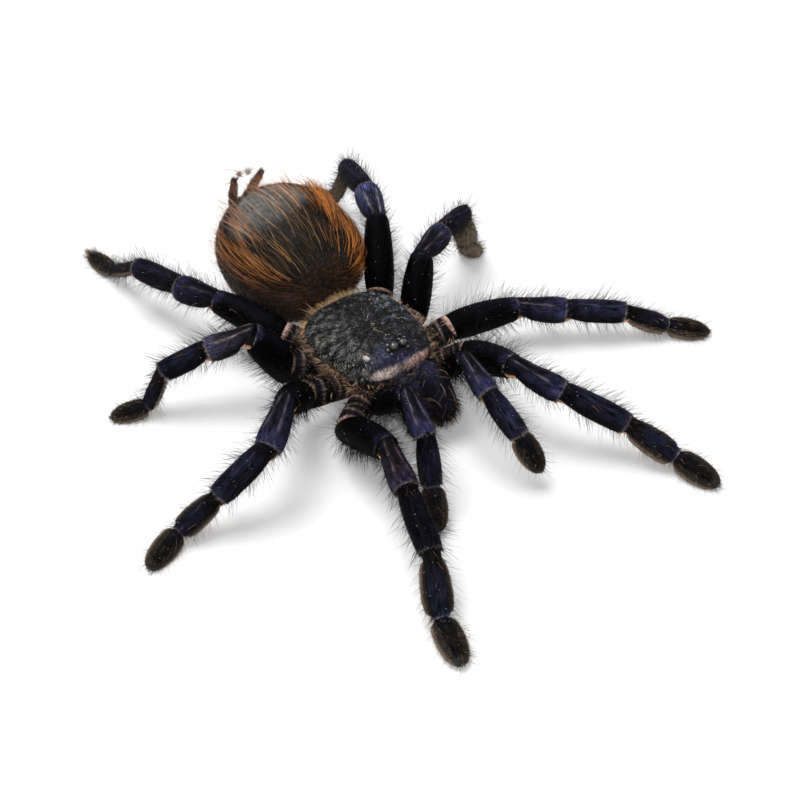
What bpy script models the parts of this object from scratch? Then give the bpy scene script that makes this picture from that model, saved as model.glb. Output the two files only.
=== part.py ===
"""Dry tarantula specimen, posed standing: body, chelicerae, palps, eight legs and spinnerets.

Metres, +Z up, head toward -Y, abdomen toward +Y, the spider's left side at +X. The feet stand
on z = 0, and the middle of the whole outline lies over the origin. Every limb is one closed
tube whose radius swells on each segment and narrows at each joint, with its fur counted in.
"""

import math

import bmesh
import bpy
from mathutils import Vector

MM = 0.001
TUBE_RESOLUTION = 3

# Height of the floor under the fit of the limbs: the fur of the soles presses this far into it.
FLOOR_Z = 0.25

# Trunk, in millimetres, in a frame whose origin is under the middle of the carapace.
CARAPACE_MIDDLE_Y = 0.5
CARAPACE_HALF_LENGTH = 11.8
CARAPACE_HALF_WIDTH = 10.2
CARAPACE_RIM_Z = 9.8
CARAPACE_RISE = 5.2
CARAPACE_PLAN_POWER = 3.0
HEAD_NARROWING = 0.14
HEAD_LIFT = 0.7
FOVEA_Y = -0.9
FOVEA_DEPTH = 0.7
FOVEA_SPREAD = 1.5
EYES_Y = -8.4
EYE_TUBERCLE_RISE = 1.1
EYE_TUBERCLE_SPREAD = 1.4
STERNUM_MIDDLE = (0.0, -1.2, 5.3)
STERNUM_HALF_SIZE = (2.7, 7.4, 1.3)
ABDOMEN_MIDDLE = (0.8, 29.0, 13.0)
ABDOMEN_HALF_SIZE = (13.8, 15.7, 12.3)
PEDICEL_FROM = (0.0, 6.7, 6.4)
PEDICEL_TO = (0.3, 14.3, 7.0)
PEDICEL_RADIUS = 1.3

# Mouthparts: route and radius along one chelicera and one fang, on the left side.
CHELICERA_ROUTE = (
    (2.65, -12.2, 9.6, 1.7),
    (2.70, -13.2, 10.0, 2.3),
    (2.75, -15.2, 10.1, 2.5),
    (2.80, -17.2, 8.9, 2.55),
    (2.80, -18.5, 6.8, 2.45),
    (2.70, -18.9, 4.9, 2.0),
    (2.60, -18.8, 3.7, 1.3),
)
FANG_ROUTE = (
    (2.50, -18.9, 1.75, 0.62),
    (2.45, -18.0, 1.35, 0.60),
    (2.35, -16.6, 1.20, 0.48),
    (2.25, -15.2, 1.50, 0.32),
    (2.15, -14.2, 2.10, 0.12),
)

# Spinnerets: the long pair points up and back, the short pair lies below it.
SPINNERET_LONG_LEFT = (
    (1.9, 45.7, 14.4, 0.95),
    (3.5, 46.5, 15.9, 0.92),
    (5.3, 46.9, 17.4, 0.82),
    (7.2, 47.3, 18.9, 0.45),
)
SPINNERET_LONG_RIGHT = (
    (-1.0, 45.7, 14.2, 0.95),
    (-0.4, 46.7, 15.7, 0.92),
    (0.3, 47.5, 17.2, 0.82),
    (1.1, 48.3, 18.8, 0.45),
)
SPINNERET_SHORT_LEFT = ((1.6, 45.5, 11.6, 0.60), (1.9, 46.3, 11.9, 0.55), (2.1, 47.3, 12.3, 0.25))
SPINNERET_SHORT_RIGHT = ((-0.4, 45.5, 11.6, 0.60), (-0.7, 46.3, 11.9, 0.55), (-0.9, 47.3, 12.3, 0.25))

# Limbs: per pair the inner end of the coxa on the left side (mirrored on the right), and the
# length and the largest radius of each segment from the femur outwards.
LIMB_PAIRS = {
    "leg_1": {
        "coxa": (5.0, -7.5, 5.5),
        "lengths": (15.5, 9.8, 13.0, 10.8, 9.1),
        "radii": (2.9, 2.15, 2.0, 2.3, 2.15),
    },
    "leg_2": {
        "coxa": (5.3, -2.7, 5.5),
        "lengths": (14.3, 9.6, 11.8, 9.4, 8.5),
        "radii": (2.85, 2.3, 2.0, 2.0, 1.95),
    },
    "leg_3": {
        "coxa": (5.3, 2.1, 5.5),
        "lengths": (11.4, 8.2, 9.4, 8.2, 7.1),
        "radii": (2.85, 2.2, 1.85, 1.75, 1.75),
    },
    "leg_4": {
        "coxa": (4.9, 6.8, 5.5),
        "lengths": (15.8, 8.8, 12.3, 13.3, 8.8),
        "radii": (2.85, 2.4, 2.0, 1.5, 1.6),
    },
    "palp": {
        "coxa": (3.5, -11.3, 5.1),
        "lengths": (12.3, 8.1, 9.0, 8.3),
        "radii": (1.9, 1.9, 1.8, 2.0),
    },
}

# Posture of each limb: the base of its femur, then for each segment its heading in plan, in
# degrees from +X towards +Y, and its climb above the horizontal.
POSTURES = {
    "leg_1_left": {
        "base": (13.8, -11.8, 7.8),
        "headings": (-92, -61, -52, -58, -75),
        "climbs": (28, -15, -22, -26, -10),
    },
    "leg_1_right": {
        "base": (-13.7, -12.6, 7.1),
        "headings": (-98, -107, -109, -114, -105),
        "climbs": (22, -4, -7, -47, -8),
    },
    "leg_2_left": {
        "base": (15.6, -4.3, 8.3),
        "headings": (-12, -32, -35, -35, -40),
        "climbs": (-1, -7, -4, -22, -9),
    },
    "leg_2_right": {
        "base": (-15.7, -4.0, 8.1),
        "headings": (-147, -144, -188, -189, -159),
        "climbs": (36, -13, -35, -33, -8),
    },
    "leg_3_left": {
        "base": (12.9, 3.7, 7.5),
        "headings": (42, 25, 23, 29, 23),
        "climbs": (42, 2, -10, -77, -52),
    },
    "leg_3_right": {
        "base": (-13.3, 4.2, 8.3),
        "headings": (146, 151, 155, 167, 159),
        "climbs": (41, -17, -24, -62, -10),
    },
    "leg_4_left": {
        "base": (10.8, 11.8, 8.4),
        "headings": (56, 68, 74, 84, 101),
        "climbs": (28, 4, -11, -62, -10),
    },
    "leg_4_right": {
        "base": (-11.1, 11.7, 8.4),
        "headings": (116, 110, 103, 95, 93),
        "climbs": (12, -5, -7, -34, -6),
    },
    "palp_left": {
        "base": (8.0, -13.4, 8.1),
        "headings": (-105, -99, -80, -64),
        "climbs": (49, -10, -35, -55),
    },
    "palp_right": {
        "base": (-7.9, -13.5, 8.2),
        "headings": (-89, -102, -111, -117),
        "climbs": (47, -24, -63, -32),
    },
}

# Swelling of each kind of segment: (share of its length, share of its largest radius).
FEMUR_FORM = ((0.03, 0.80), (0.18, 0.95), (0.45, 1.00), (0.75, 0.96), (0.94, 0.80))
PATELLA_FORM = ((0.10, 0.86), (0.38, 1.00), (0.72, 1.00), (0.94, 0.82))
TIBIA_FORM = ((0.08, 0.86), (0.30, 1.00), (0.68, 0.97), (0.93, 0.80))
METATARSUS_FORM = ((0.08, 0.62), (0.30, 0.74), (0.55, 1.00), (0.80, 1.00), (0.95, 0.62))
TARSUS_FORM = ((0.10, 0.72), (0.35, 1.00), (0.68, 0.98), (0.90, 0.74), (1.00, 0.38))
LEG_FORMS = (FEMUR_FORM, PATELLA_FORM, TIBIA_FORM, METATARSUS_FORM, TARSUS_FORM)
PALP_FORMS = (FEMUR_FORM, PATELLA_FORM, TIBIA_FORM, TARSUS_FORM)
COXA_FORM = ((0.00, 0.62), (0.12, 0.72), (0.45, 0.80), (0.62, 0.74), (0.80, 0.86))

# Colour, roughness and metallic value of each kind of surface.
SURFACES = {
    "carapace": ((0.035, 0.042, 0.050, 1.0), 0.60, 0.0),
    "sternum": ((0.020, 0.016, 0.016, 1.0), 0.85, 0.0),
    "abdomen": ((0.085, 0.045, 0.025, 1.0), 0.85, 0.0),
    "chelicera": ((0.020, 0.024, 0.055, 1.0), 0.70, 0.0),
    "fang": ((0.010, 0.008, 0.008, 1.0), 0.25, 0.0),
    "leg": ((0.014, 0.014, 0.034, 1.0), 0.75, 0.0),
    "palp": ((0.014, 0.014, 0.034, 1.0), 0.75, 0.0),
    "spinneret": ((0.120, 0.055, 0.025, 1.0), 0.80, 0.0),
    "pedicel": ((0.060, 0.035, 0.028, 1.0), 0.85, 0.0),
}


def clear_scene():
    """Removes whatever the file already shows."""
    for obj in list(bpy.data.objects):
        bpy.data.objects.remove(obj, do_unlink=True)


def new_collection(name):
    """A collection linked to the scene."""
    collection = bpy.data.collections.new(name)
    bpy.context.scene.collection.children.link(collection)
    return collection


def surface_material(name, kind):
    """A Principled material named for the part, with the values of its kind of surface."""
    colour, roughness, metallic = SURFACES[kind]
    material = bpy.data.materials.new(name)
    material.use_nodes = True
    shader = material.node_tree.nodes["Principled BSDF"]
    shader.inputs["Base Color"].default_value = colour
    shader.inputs["Roughness"].default_value = roughness
    shader.inputs["Metallic"].default_value = metallic
    material.diffuse_color = colour
    return material


def place_mesh(name, mesh, kind):
    """An object of the mesh, smooth shaded, with its material, in the specimen's collection."""
    mesh.shade_smooth()
    mesh.set_sharp_from_angle(angle=math.radians(50))
    mesh.materials.clear()
    mesh.materials.append(surface_material(name, kind))
    obj = bpy.data.objects.new(name, mesh)
    specimen.objects.link(obj)
    return obj


def mesh_from(shape, name):
    """Turns an edited shape into a mesh with its faces outward, and frees the shape."""
    if shape.calc_volume(signed=True) < 0:
        bmesh.ops.reverse_faces(shape, faces=shape.faces)
    mesh = bpy.data.meshes.new(name)
    shape.to_mesh(mesh)
    shape.free()
    return mesh


def tube(name, route, kind):
    """A round tube along (x, y, z, radius) points in millimetres, as a closed mesh object."""
    curve = bpy.data.curves.new(name + "_route", "CURVE")
    curve.dimensions = "3D"
    curve.bevel_depth = MM
    curve.bevel_resolution = TUBE_RESOLUTION
    curve.use_fill_caps = True
    spline = curve.splines.new("POLY")
    spline.points.add(len(route) - 1)
    for point, (x, y, z, radius) in zip(spline.points, route):
        point.co = (x * MM, y * MM, z * MM, 1.0)
        point.radius = radius
    guide = bpy.data.objects.new(name + "_guide", curve)
    specimen.objects.link(guide)
    bpy.context.view_layer.update()
    graph = bpy.context.evaluated_depsgraph_get()
    mesh = bpy.data.meshes.new_from_object(guide.evaluated_get(graph))
    shape = bmesh.new()
    shape.from_mesh(mesh)
    bmesh.ops.remove_doubles(shape, verts=shape.verts, dist=0.00001)
    bpy.data.objects.remove(guide, do_unlink=True)
    bpy.data.meshes.remove(mesh)
    return place_mesh(name, mesh_from(shape, name), kind)


def direction(heading, climb):
    """Unit vector of a heading in plan and a climb above the horizontal, in degrees."""
    heading = math.radians(heading)
    climb = math.radians(climb)
    level = math.cos(climb)
    return Vector((level * math.cos(heading), level * math.sin(heading), math.sin(climb)))


def along(start, end, form, radius):
    """Route points between start and end at the shares that the form gives."""
    for share, swelling in form:
        place = start.lerp(end, share)
        yield (*place, radius * swelling)


def limb_route(pair, posture, side):
    """Route of one limb from the inner end of its coxa, joint by joint, to its claws.

    side is 1 for the spider's left and -1 for its right.
    """
    forms = PALP_FORMS if len(pair["lengths"]) == 4 else LEG_FORMS
    inner_x, inner_y, inner_z = pair["coxa"]
    joint = Vector(posture["base"])
    inner_end = Vector((side * inner_x, inner_y, inner_z))
    route = list(along(inner_end, joint, COXA_FORM, pair["radii"][0]))
    angles = (posture["headings"], posture["climbs"])
    segments = zip(forms, pair["lengths"], pair["radii"], *angles)
    for form, length, radius, heading, climb in segments:
        end = joint + length * direction(heading, climb)
        route += along(joint, end, form, radius)
        joint = end
    return route


def rest_on_floor(obj, floor):
    """Cuts a flat sole where the limb's fur presses on the floor."""
    cut = obj.modifiers.new("sole", "BOOLEAN")
    cut.operation = "DIFFERENCE"
    cut.solver = "EXACT"
    cut.object = floor


def floor_cutter():
    """A slab under the feet, wider than the leg span."""
    half_span, depth = 0.1, 0.02
    middle_z = FLOOR_Z * MM - depth / 2
    shape = bmesh.new()
    bmesh.ops.create_cube(shape, size=1.0)
    bmesh.ops.scale(shape, vec=(2 * half_span, 2 * half_span, depth), verts=shape.verts)
    bmesh.ops.translate(shape, vec=(0.0, 0.0, middle_z), verts=shape.verts)
    floor = bpy.data.objects.new("floor_cutter", mesh_from(shape, "floor_cutter"))
    floor.hide_render = True
    floor.display_type = "WIRE"
    cutters.objects.link(floor)
    return floor


def ellipsoid(name, middle, half_size, kind, rings=14):
    """A sphere stretched to the given half sizes, with its poles at the front and back."""
    shape = bmesh.new()
    bmesh.ops.create_uvsphere(shape, u_segments=2 * rings, v_segments=rings, radius=1.0)
    for vertex in shape.verts:
        x, y, z = vertex.co
        turned = Vector((x, z, -y))
        vertex.co = Vector(m + h * t for m, h, t in zip(middle, half_size, turned)) * MM
    return place_mesh(name, mesh_from(shape, name), kind)


def hump(x, y, middle_y, spread):
    """A smooth rise of 1 over (0, middle_y) that fades within about two spreads."""
    return math.exp(-(x * x + (y - middle_y) ** 2) / (2 * spread * spread))


def carapace_point(x, y, z):
    """Maps a point of the unit half sphere to the carapace, in millimetres."""
    reach = math.hypot(x, y)
    power = CARAPACE_PLAN_POWER
    if reach > 0:
        cosine, sine = abs(x) / reach, abs(y) / reach
        widen = (cosine**power + sine**power) ** (-1 / power)
        x *= widen
        y *= widen
    toward_head = max(0.0, -y)
    narrowing = 1 - HEAD_NARROWING * toward_head
    across = CARAPACE_HALF_WIDTH * x * narrowing
    ahead = CARAPACE_MIDDLE_Y + CARAPACE_HALF_LENGTH * y
    dome = max(z, 0.0) ** 0.85
    height = CARAPACE_RIM_Z + CARAPACE_RISE * dome
    height += HEAD_LIFT * dome * math.exp(-((ahead - EYES_Y) ** 2 + 0.5 * across**2) / 18)
    height += EYE_TUBERCLE_RISE * dome * hump(across, ahead, EYES_Y, EYE_TUBERCLE_SPREAD)
    height -= FOVEA_DEPTH * hump(across, ahead, FOVEA_Y, FOVEA_SPREAD)
    return Vector((across, ahead, height)) * MM


def carapace():
    """The domed shield: a half sphere on a flat underside, squared in plan, narrower at the head."""
    shape = bmesh.new()
    bmesh.ops.create_uvsphere(shape, u_segments=36, v_segments=20, radius=1.0)
    below = [vertex for vertex in shape.verts if vertex.co.z < -0.001]
    bmesh.ops.delete(shape, geom=below, context="VERTS")
    bmesh.ops.holes_fill(shape, edges=shape.edges, sides=0)
    bmesh.ops.recalc_face_normals(shape, faces=shape.faces)
    for vertex in shape.verts:
        vertex.co = carapace_point(*vertex.co)
    return place_mesh("carapace", mesh_from(shape, "carapace"), "carapace")


def mirror_route(route):
    """The same route on the other side of the body."""
    return [(-x, y, z, radius) for x, y, z, radius in route]


def mouthparts():
    """Two chelicerae and the fang folded under each."""
    for part, route in (("chelicera", CHELICERA_ROUTE), ("fang", FANG_ROUTE)):
        tube(part + "_left", route, part)
        tube(part + "_right", mirror_route(route), part)


def limbs(floor):
    """Both palps and all eight legs, each standing on the floor where it reaches it."""
    for name, posture in POSTURES.items():
        pair_name, side_name = name.rsplit("_", 1)
        side = 1 if side_name == "left" else -1
        kind = "palp" if pair_name == "palp" else "leg"
        limb = tube(name, limb_route(LIMB_PAIRS[pair_name], posture, side), kind)
        rest_on_floor(limb, floor)


def spinnerets():
    """The long pair and the short pair at the rear of the abdomen."""
    tube("spinneret_long_left", SPINNERET_LONG_LEFT, "spinneret")
    tube("spinneret_long_right", SPINNERET_LONG_RIGHT, "spinneret")
    tube("spinneret_short_left", SPINNERET_SHORT_LEFT, "spinneret")
    tube("spinneret_short_right", SPINNERET_SHORT_RIGHT, "spinneret")


def pedicel():
    """The waist: a short stalk between the sternum and the abdomen."""
    ends = [(*PEDICEL_FROM, PEDICEL_RADIUS), (*PEDICEL_TO, PEDICEL_RADIUS)]
    tube("pedicel", ends, "pedicel")


def centre_over_origin():
    """Shifts every piece: the floor to z = 0, and the middle of the outline over the origin."""
    bpy.context.view_layer.update()
    graph = bpy.context.evaluated_depsgraph_get()
    corners = []
    for obj in specimen.objects:
        corners += [vertex.co.copy() for vertex in obj.evaluated_get(graph).data.vertices]
    middle_x = (min(c.x for c in corners) + max(c.x for c in corners)) / 2
    middle_y = (min(c.y for c in corners) + max(c.y for c in corners)) / 2
    for obj in list(specimen.objects) + list(cutters.objects):
        obj.location = (-middle_x, -middle_y, -FLOOR_Z * MM)


clear_scene()
specimen = new_collection("tarantula_specimen")
cutters = new_collection("cutters")
carapace()
ellipsoid("sternum", STERNUM_MIDDLE, STERNUM_HALF_SIZE, "sternum", rings=8)
ellipsoid("abdomen", ABDOMEN_MIDDLE, ABDOMEN_HALF_SIZE, "abdomen")
pedicel()
mouthparts()
limbs(floor_cutter())
spinnerets()
centre_over_origin()
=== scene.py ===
"""Looks of the dry tarantula specimen: velvet limbs, haired body, foot pads, eyes and claws.

Everything is worked out in millimetres in the specimen's own frame, with the origin under the
middle of the carapace, the head toward -Y and the left side at +X. It is shifted to the frame
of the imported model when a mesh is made.
"""

import math

import bpy
import numpy as np
from mathutils import Matrix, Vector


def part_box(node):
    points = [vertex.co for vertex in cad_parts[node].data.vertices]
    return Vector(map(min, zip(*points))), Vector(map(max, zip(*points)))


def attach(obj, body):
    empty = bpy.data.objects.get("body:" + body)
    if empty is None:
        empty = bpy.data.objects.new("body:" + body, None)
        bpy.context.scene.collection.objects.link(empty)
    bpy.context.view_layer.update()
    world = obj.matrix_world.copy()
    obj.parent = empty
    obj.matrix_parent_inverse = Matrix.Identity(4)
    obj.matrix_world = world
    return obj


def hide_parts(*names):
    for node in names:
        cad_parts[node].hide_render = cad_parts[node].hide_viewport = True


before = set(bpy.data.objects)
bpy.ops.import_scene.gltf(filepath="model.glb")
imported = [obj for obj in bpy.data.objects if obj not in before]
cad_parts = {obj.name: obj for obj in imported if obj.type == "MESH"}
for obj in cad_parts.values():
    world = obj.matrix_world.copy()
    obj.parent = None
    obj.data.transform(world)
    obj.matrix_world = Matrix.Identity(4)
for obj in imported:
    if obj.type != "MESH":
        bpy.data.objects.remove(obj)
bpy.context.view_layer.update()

MM = 0.001
# Heights of the floor and of the carapace's rim in the specimen's frame, and the rim's middle.
FLOOR = 0.25
RIM_Z = 9.8
CARAPACE_MIDDLE_Y = 0.5
# The least height of any point over the floor.
FLOOR_GAP = 0.01
BODY = "root"

rim_low, rim_high = (np.array(corner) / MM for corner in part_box("carapace"))
SHIFT = np.array([
    (rim_low[0] + rim_high[0]) / 2,
    (rim_low[1] + rim_high[1]) / 2 - CARAPACE_MIDDLE_Y,
    rim_low[2] - RIM_Z,
])

# Camera, in the specimen's frame: where it looks, from which side and how far, and its lens.
CAMERA_TARGET = (-1.88, -11.81, 5.0)
CAMERA_AZIMUTH, CAMERA_ELEVATION, CAMERA_ROLL = -36.55, 43.85, -0.12
CAMERA_DISTANCE = 288.75
CAMERA_LENS = 70.3

# How far the floor reaches to each side, in metres, and its grey.
FLOOR_REACH = 3.0
FLOOR_GREY = (0.60, 0.60, 0.60)
# Light: the sky's and the floor's own strength, and each lamp's place in metres, side and power.
SKY = 0.68
FLOOR_GLOW = 0.20
LAMPS = (
    ("overhead", (-0.08, 0.20, 0.75), 0.40, 6.0),
    ("front", (-0.50, -0.55, 0.65), 0.60, 2.2),
)

# Colours, as linear red, green and blue.
BLACK = np.array([0.0016, 0.0014, 0.0015])
NIGHT = np.array([0.0050, 0.0053, 0.0115])
VIOLET = np.array([0.0140, 0.0135, 0.0330])
RIM_BLUE = np.array([0.0220, 0.0215, 0.0560])
STRIPE = np.array([0.0760, 0.0630, 0.0740])
EDGE = np.array([0.1700, 0.1500, 0.1450])
PAD_BROWN = np.array([0.1850, 0.1390, 0.1040])
PINK = np.array([0.3000, 0.1900, 0.1600])
PEACH = np.array([0.8000, 0.4200, 0.2400])
COXA_BROWN = np.array([0.0400, 0.0280, 0.0230])
GOLD = np.array([0.3000, 0.1500, 0.0700])
# The pale of the specks on the legs: partly dust, partly painted glints.
GLINT = np.array([0.7500, 0.7200, 0.6600])
ORANGE = np.array([0.6600, 0.2300, 0.0500])
TAN = np.array([0.5000, 0.2700, 0.1050])
UMBER = np.array([0.0060, 0.0048, 0.0045])

# Where each group of random numbers starts; every limb has its own, counted from that of limbs.
SEEDS = {"carapace": 11, "abdomen": 23, "mouthparts": 31, "rear": 41, "silk": 43, "limbs": 101}

# Limbs: per pair the inner end of the coxa on the left side (mirrored on the right), and the
# length and the largest radius of each segment from the femur outwards.
LIMB_PAIRS = {
    "leg_1": {
        "coxa": (5.0, -7.5, 5.5),
        "lengths": (15.5, 9.8, 13.0, 10.8, 9.1),
        "radii": (2.9, 2.15, 2.0, 2.3, 2.15),
    },
    "leg_2": {
        "coxa": (5.3, -2.7, 5.5),
        "lengths": (14.3, 9.6, 11.8, 9.4, 8.5),
        "radii": (2.85, 2.3, 2.0, 2.0, 1.95),
    },
    "leg_3": {
        "coxa": (5.3, 2.1, 5.5),
        "lengths": (11.4, 8.2, 9.4, 8.2, 7.1),
        "radii": (2.85, 2.2, 1.85, 1.75, 1.75),
    },
    "leg_4": {
        "coxa": (4.9, 6.8, 5.5),
        "lengths": (15.8, 8.8, 12.3, 13.3, 8.8),
        "radii": (2.85, 2.4, 2.0, 1.5, 1.6),
    },
    "palp": {
        "coxa": (3.5, -11.3, 5.1),
        "lengths": (12.3, 8.1, 9.0, 8.3),
        "radii": (1.9, 1.9, 1.8, 2.0),
    },
}

# Posture of each limb: the base of its femur, then for each segment its heading in plan, in
# degrees from +X towards +Y, and its climb above the horizontal.
POSTURES = {
    "leg_1_left": ((13.8, -11.8, 7.8), (-92, -61, -52, -58, -75), (28, -15, -22, -26, -10)),
    "leg_1_right": ((-13.7, -12.6, 7.1), (-98, -107, -109, -114, -105), (22, -4, -7, -47, -8)),
    "leg_2_left": ((15.6, -4.3, 8.3), (-12, -32, -35, -35, -40), (-1, -7, -4, -22, -9)),
    "leg_2_right": ((-15.7, -4.0, 8.1), (-147, -144, -188, -189, -159), (36, -13, -35, -33, -8)),
    "leg_3_left": ((12.9, 3.7, 7.5), (42, 25, 23, 29, 23), (42, 2, -10, -77, -52)),
    "leg_3_right": ((-13.3, 4.2, 8.3), (146, 151, 155, 167, 159), (41, -17, -24, -62, -10)),
    "leg_4_left": ((10.8, 11.8, 8.4), (56, 68, 74, 84, 101), (28, 4, -11, -62, -10)),
    "leg_4_right": ((-11.1, 11.7, 8.4), (116, 110, 103, 95, 93), (12, -5, -7, -34, -6)),
    "palp_left": ((8.0, -13.4, 8.1), (-105, -99, -80, -64), (49, -10, -35, -55)),
    "palp_right": ((-7.9, -13.5, 8.2), (-89, -102, -111, -117), (47, -24, -63, -32)),
}

# Mouthparts and spinnerets: (x, y, z, radius) along each, on the left side where mirrored.
CHELICERA_ROUTE = (
    (2.65, -12.2, 9.6, 1.7),
    (2.70, -13.2, 10.0, 2.3),
    (2.75, -15.2, 10.1, 2.5),
    (2.80, -17.2, 8.9, 2.55),
    (2.80, -18.5, 6.8, 2.45),
    (2.70, -18.9, 4.9, 2.0),
    (2.60, -18.8, 3.7, 1.3),
)
FANG_ROUTE = (
    (2.50, -18.9, 1.75, 0.62),
    (2.45, -18.0, 1.35, 0.60),
    (2.35, -16.6, 1.20, 0.48),
    (2.25, -15.2, 1.50, 0.32),
    (2.15, -14.2, 2.10, 0.12),
)
SPINNERETS = {
    "spinneret_long_left": (
        (1.9, 45.7, 14.4, 0.90),
        (3.5, 46.5, 15.9, 0.90),
        (5.3, 46.9, 17.4, 0.82),
        (7.2, 47.3, 18.9, 0.52),
    ),
    "spinneret_long_right": (
        (-1.0, 45.7, 14.2, 0.90),
        (-0.4, 46.7, 15.7, 0.90),
        (0.3, 47.5, 17.2, 0.82),
        (1.1, 48.3, 18.8, 0.52),
    ),
    "spinneret_short_left": ((1.6, 45.5, 11.6, 0.60), (1.9, 46.3, 11.9, 0.55), (2.1, 47.3, 12.3, 0.25)),
    "spinneret_short_right": ((-0.4, 45.5, 11.6, 0.60), (-0.7, 46.3, 11.9, 0.55), (-0.9, 47.3, 12.3, 0.25)),
}
# The abdomen as an ellipsoid, and how far inside it the skin lies, under the fur.
ABDOMEN_MIDDLE = np.array([0.8, 29.0, 13.0])
ABDOMEN_HALF_SIZE = np.array([13.8, 15.7, 12.3])
SAC_INSET = 0.35


# ---------------------------------------------------------------- arithmetic on arrays


def unit(vectors):
    """Vectors scaled to length 1."""
    return vectors / np.maximum(np.linalg.norm(vectors, axis=-1, keepdims=True), 1e-9)


def ramp(start, end, values):
    """0 at start and 1 at end, with a smooth S between, 3 t^2 - 2 t^3. End may be below start."""
    t = np.clip((values - start) / (end - start), 0, 1)
    return t * t * (3 - 2 * t)


def ridge(middle, width, values):
    """A bell of height 1 at middle: exp of minus the square of the distance over width."""
    return np.exp(-(((values - middle) / width) ** 2))


def blend(first, second, share):
    """Colours between first and second by share."""
    share = np.asarray(share)[..., None]
    return first + (second - first) * share


def smooth_through(places, values, at):
    """Values between known ones: cubic pieces whose slopes are means of those on both sides."""
    places, values = np.asarray(places, float), np.asarray(values, float)
    slopes = np.gradient(values, places, axis=0)
    k = np.clip(np.searchsorted(places, at, side="right") - 1, 0, len(places) - 2)
    step = places[k + 1] - places[k]
    t = (at - places[k]) / step
    if values.ndim > 1:
        t, step = t[:, None], step[:, None]
    rise = (2 * t**3 - 3 * t**2 + 1) * values[k] + (t**3 - 2 * t**2 + t) * step * slopes[k]
    return rise + (3 * t**2 - 2 * t**3) * values[k + 1] + (t**3 - t**2) * step * slopes[k + 1]


def ripple(places, size, seed):
    """Smooth unevenness, mostly from -1 to 1: six sine waves in random directions, about size apart."""
    rng = np.random.default_rng(seed)
    waves = unit(rng.normal(size=(6, 3))) * rng.uniform(0.7, 1.5, (6, 1)) * 2 * math.pi / size
    return np.sin(places @ waves.T + rng.uniform(0, 2 * math.pi, 6)).mean(axis=-1) * 1.6


def spot(x, y, middle, size, power=2):
    """A bell of height 1 over a place: exp of minus the powers of both distances over the sizes."""
    return np.exp(-(((x - middle[0]) / size[0]) ** power + ((y - middle[1]) / size[1]) ** power))


def oval(x, y, middle, size, softness):
    """1 inside an oval and 0 outside, with an edge that is soft over a share of its size."""
    return ramp(1 + softness, 1 - softness, np.hypot((x - middle[0]) / size[0], (y - middle[1]) / size[1]))


def near_top(turn, none, full):
    """0 from the angle none downward and 1 from the angle full to the top of a surface."""
    return ramp(none, full, np.abs(turn))


def distances(points):
    """How far along a line of points each one lies."""
    return np.concatenate([[0], np.linalg.norm(np.diff(points, axis=0), axis=1).cumsum()])


def spaced(count):
    """Places from 0 to 1 that lie closer together toward both ends, by a cosine."""
    return (1 - np.cos(math.pi * np.arange(count) / (count - 1))) / 2


# ---------------------------------------------------------------- surfaces and hairs


class Surface:
    """A closed surface on a grid: rows run from pole to pole and columns go round, facing outward.

    share is each row's place from 0 to 1, turn each column's angle from the top, and tone a
    function that gives the colour for shares and turns.
    """

    def __init__(self, rows, start, end, share, turn, tone):
        self.rows, self.poles = rows, np.array([start, end])
        self.share, self.turn, self.tone = share, turn, tone

    def shell(self):
        """(points, quads, triangles, tones, grain), where grain is the surface straightened to a rod."""
        count, columns = self.rows.shape[:2]
        i, j = np.meshgrid(np.arange(count - 1), np.arange(columns), indexing="ij")
        here, beyond, k = i * columns, (i + 1) * columns, (j + 1) % columns
        quads = np.stack([here + j, here + k, beyond + k, beyond + j], -1).reshape(-1, 4)
        ring, following = np.arange(columns), (np.arange(columns) + 1) % columns
        last = (count - 1) * columns
        start = np.stack([following, ring, np.full(columns, count * columns)], -1)
        end = np.stack([last + ring, last + following, np.full(columns, count * columns + 1)], -1)
        points = np.concatenate([self.rows.reshape(-1, 3), self.poles])
        tones = self.tone(self.share[:, None], self.turn[None, :]) + np.zeros((count, columns, 3))
        tones = np.concatenate([tones.reshape(-1, 3), tones[0, :1], tones[-1, :1]])
        middles = self.rows.mean(axis=1)
        run = distances(middles)
        girth = np.linalg.norm(self.rows - middles[:, None], axis=-1)
        rod = [run[:, None] + 0 * girth, girth * np.cos(self.turn), girth * np.sin(self.turn)]
        tips = [(run[0], 0, 0), (run[-1], 0, 0)]
        grain = np.concatenate([np.stack(rod, -1).reshape(-1, 3), tips])
        return points, quads, np.concatenate([start, end]), tones, grain

    def roots(self, count, rng, weight=None):
        """Random hair roots, spread by area times weight.

        Gives a dictionary: place, outward normal, along (toward the end pole), around, share
        and turn. A root is the bilinear mean of the corners of its grid cell.
        """
        ring = np.concatenate([self.rows, self.rows[:, :1]], axis=1)
        a, b, c, d = ring[:-1, :-1], ring[:-1, 1:], ring[1:, 1:], ring[1:, :-1]
        around, along = (b - a + c - d) / 2, (d - a + c - b) / 2
        normal = np.cross(around, along)
        share = (self.share[1:] + self.share[:-1]) / 2
        step = np.diff(self.turn[:2])[0]
        chance = np.linalg.norm(normal, axis=-1)
        if weight is not None:
            chance = chance * np.maximum(weight(share[:, None], self.turn[None, :] + step / 2), 0)
        chance = chance.ravel().cumsum()
        pick = np.searchsorted(chance / chance[-1], rng.random(count))
        i, j = np.divmod(np.minimum(pick, chance.size - 1), a.shape[1])
        u, v = rng.random((2, count, 1))
        a, b, c, d = a[i, j], b[i, j], c[i, j], d[i, j]
        return {
            "place": a + (b - a) * u + (d - a) * v + (a - b + c - d) * u * v,
            "normal": unit(normal[i, j]),
            "along": unit(along[i, j]),
            "around": unit(around[i, j]),
            "share": self.share[i] + v[:, 0] * (self.share[i + 1] - self.share[i]),
            "turn": self.turn[j] + u[:, 0] * step,
        }


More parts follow.
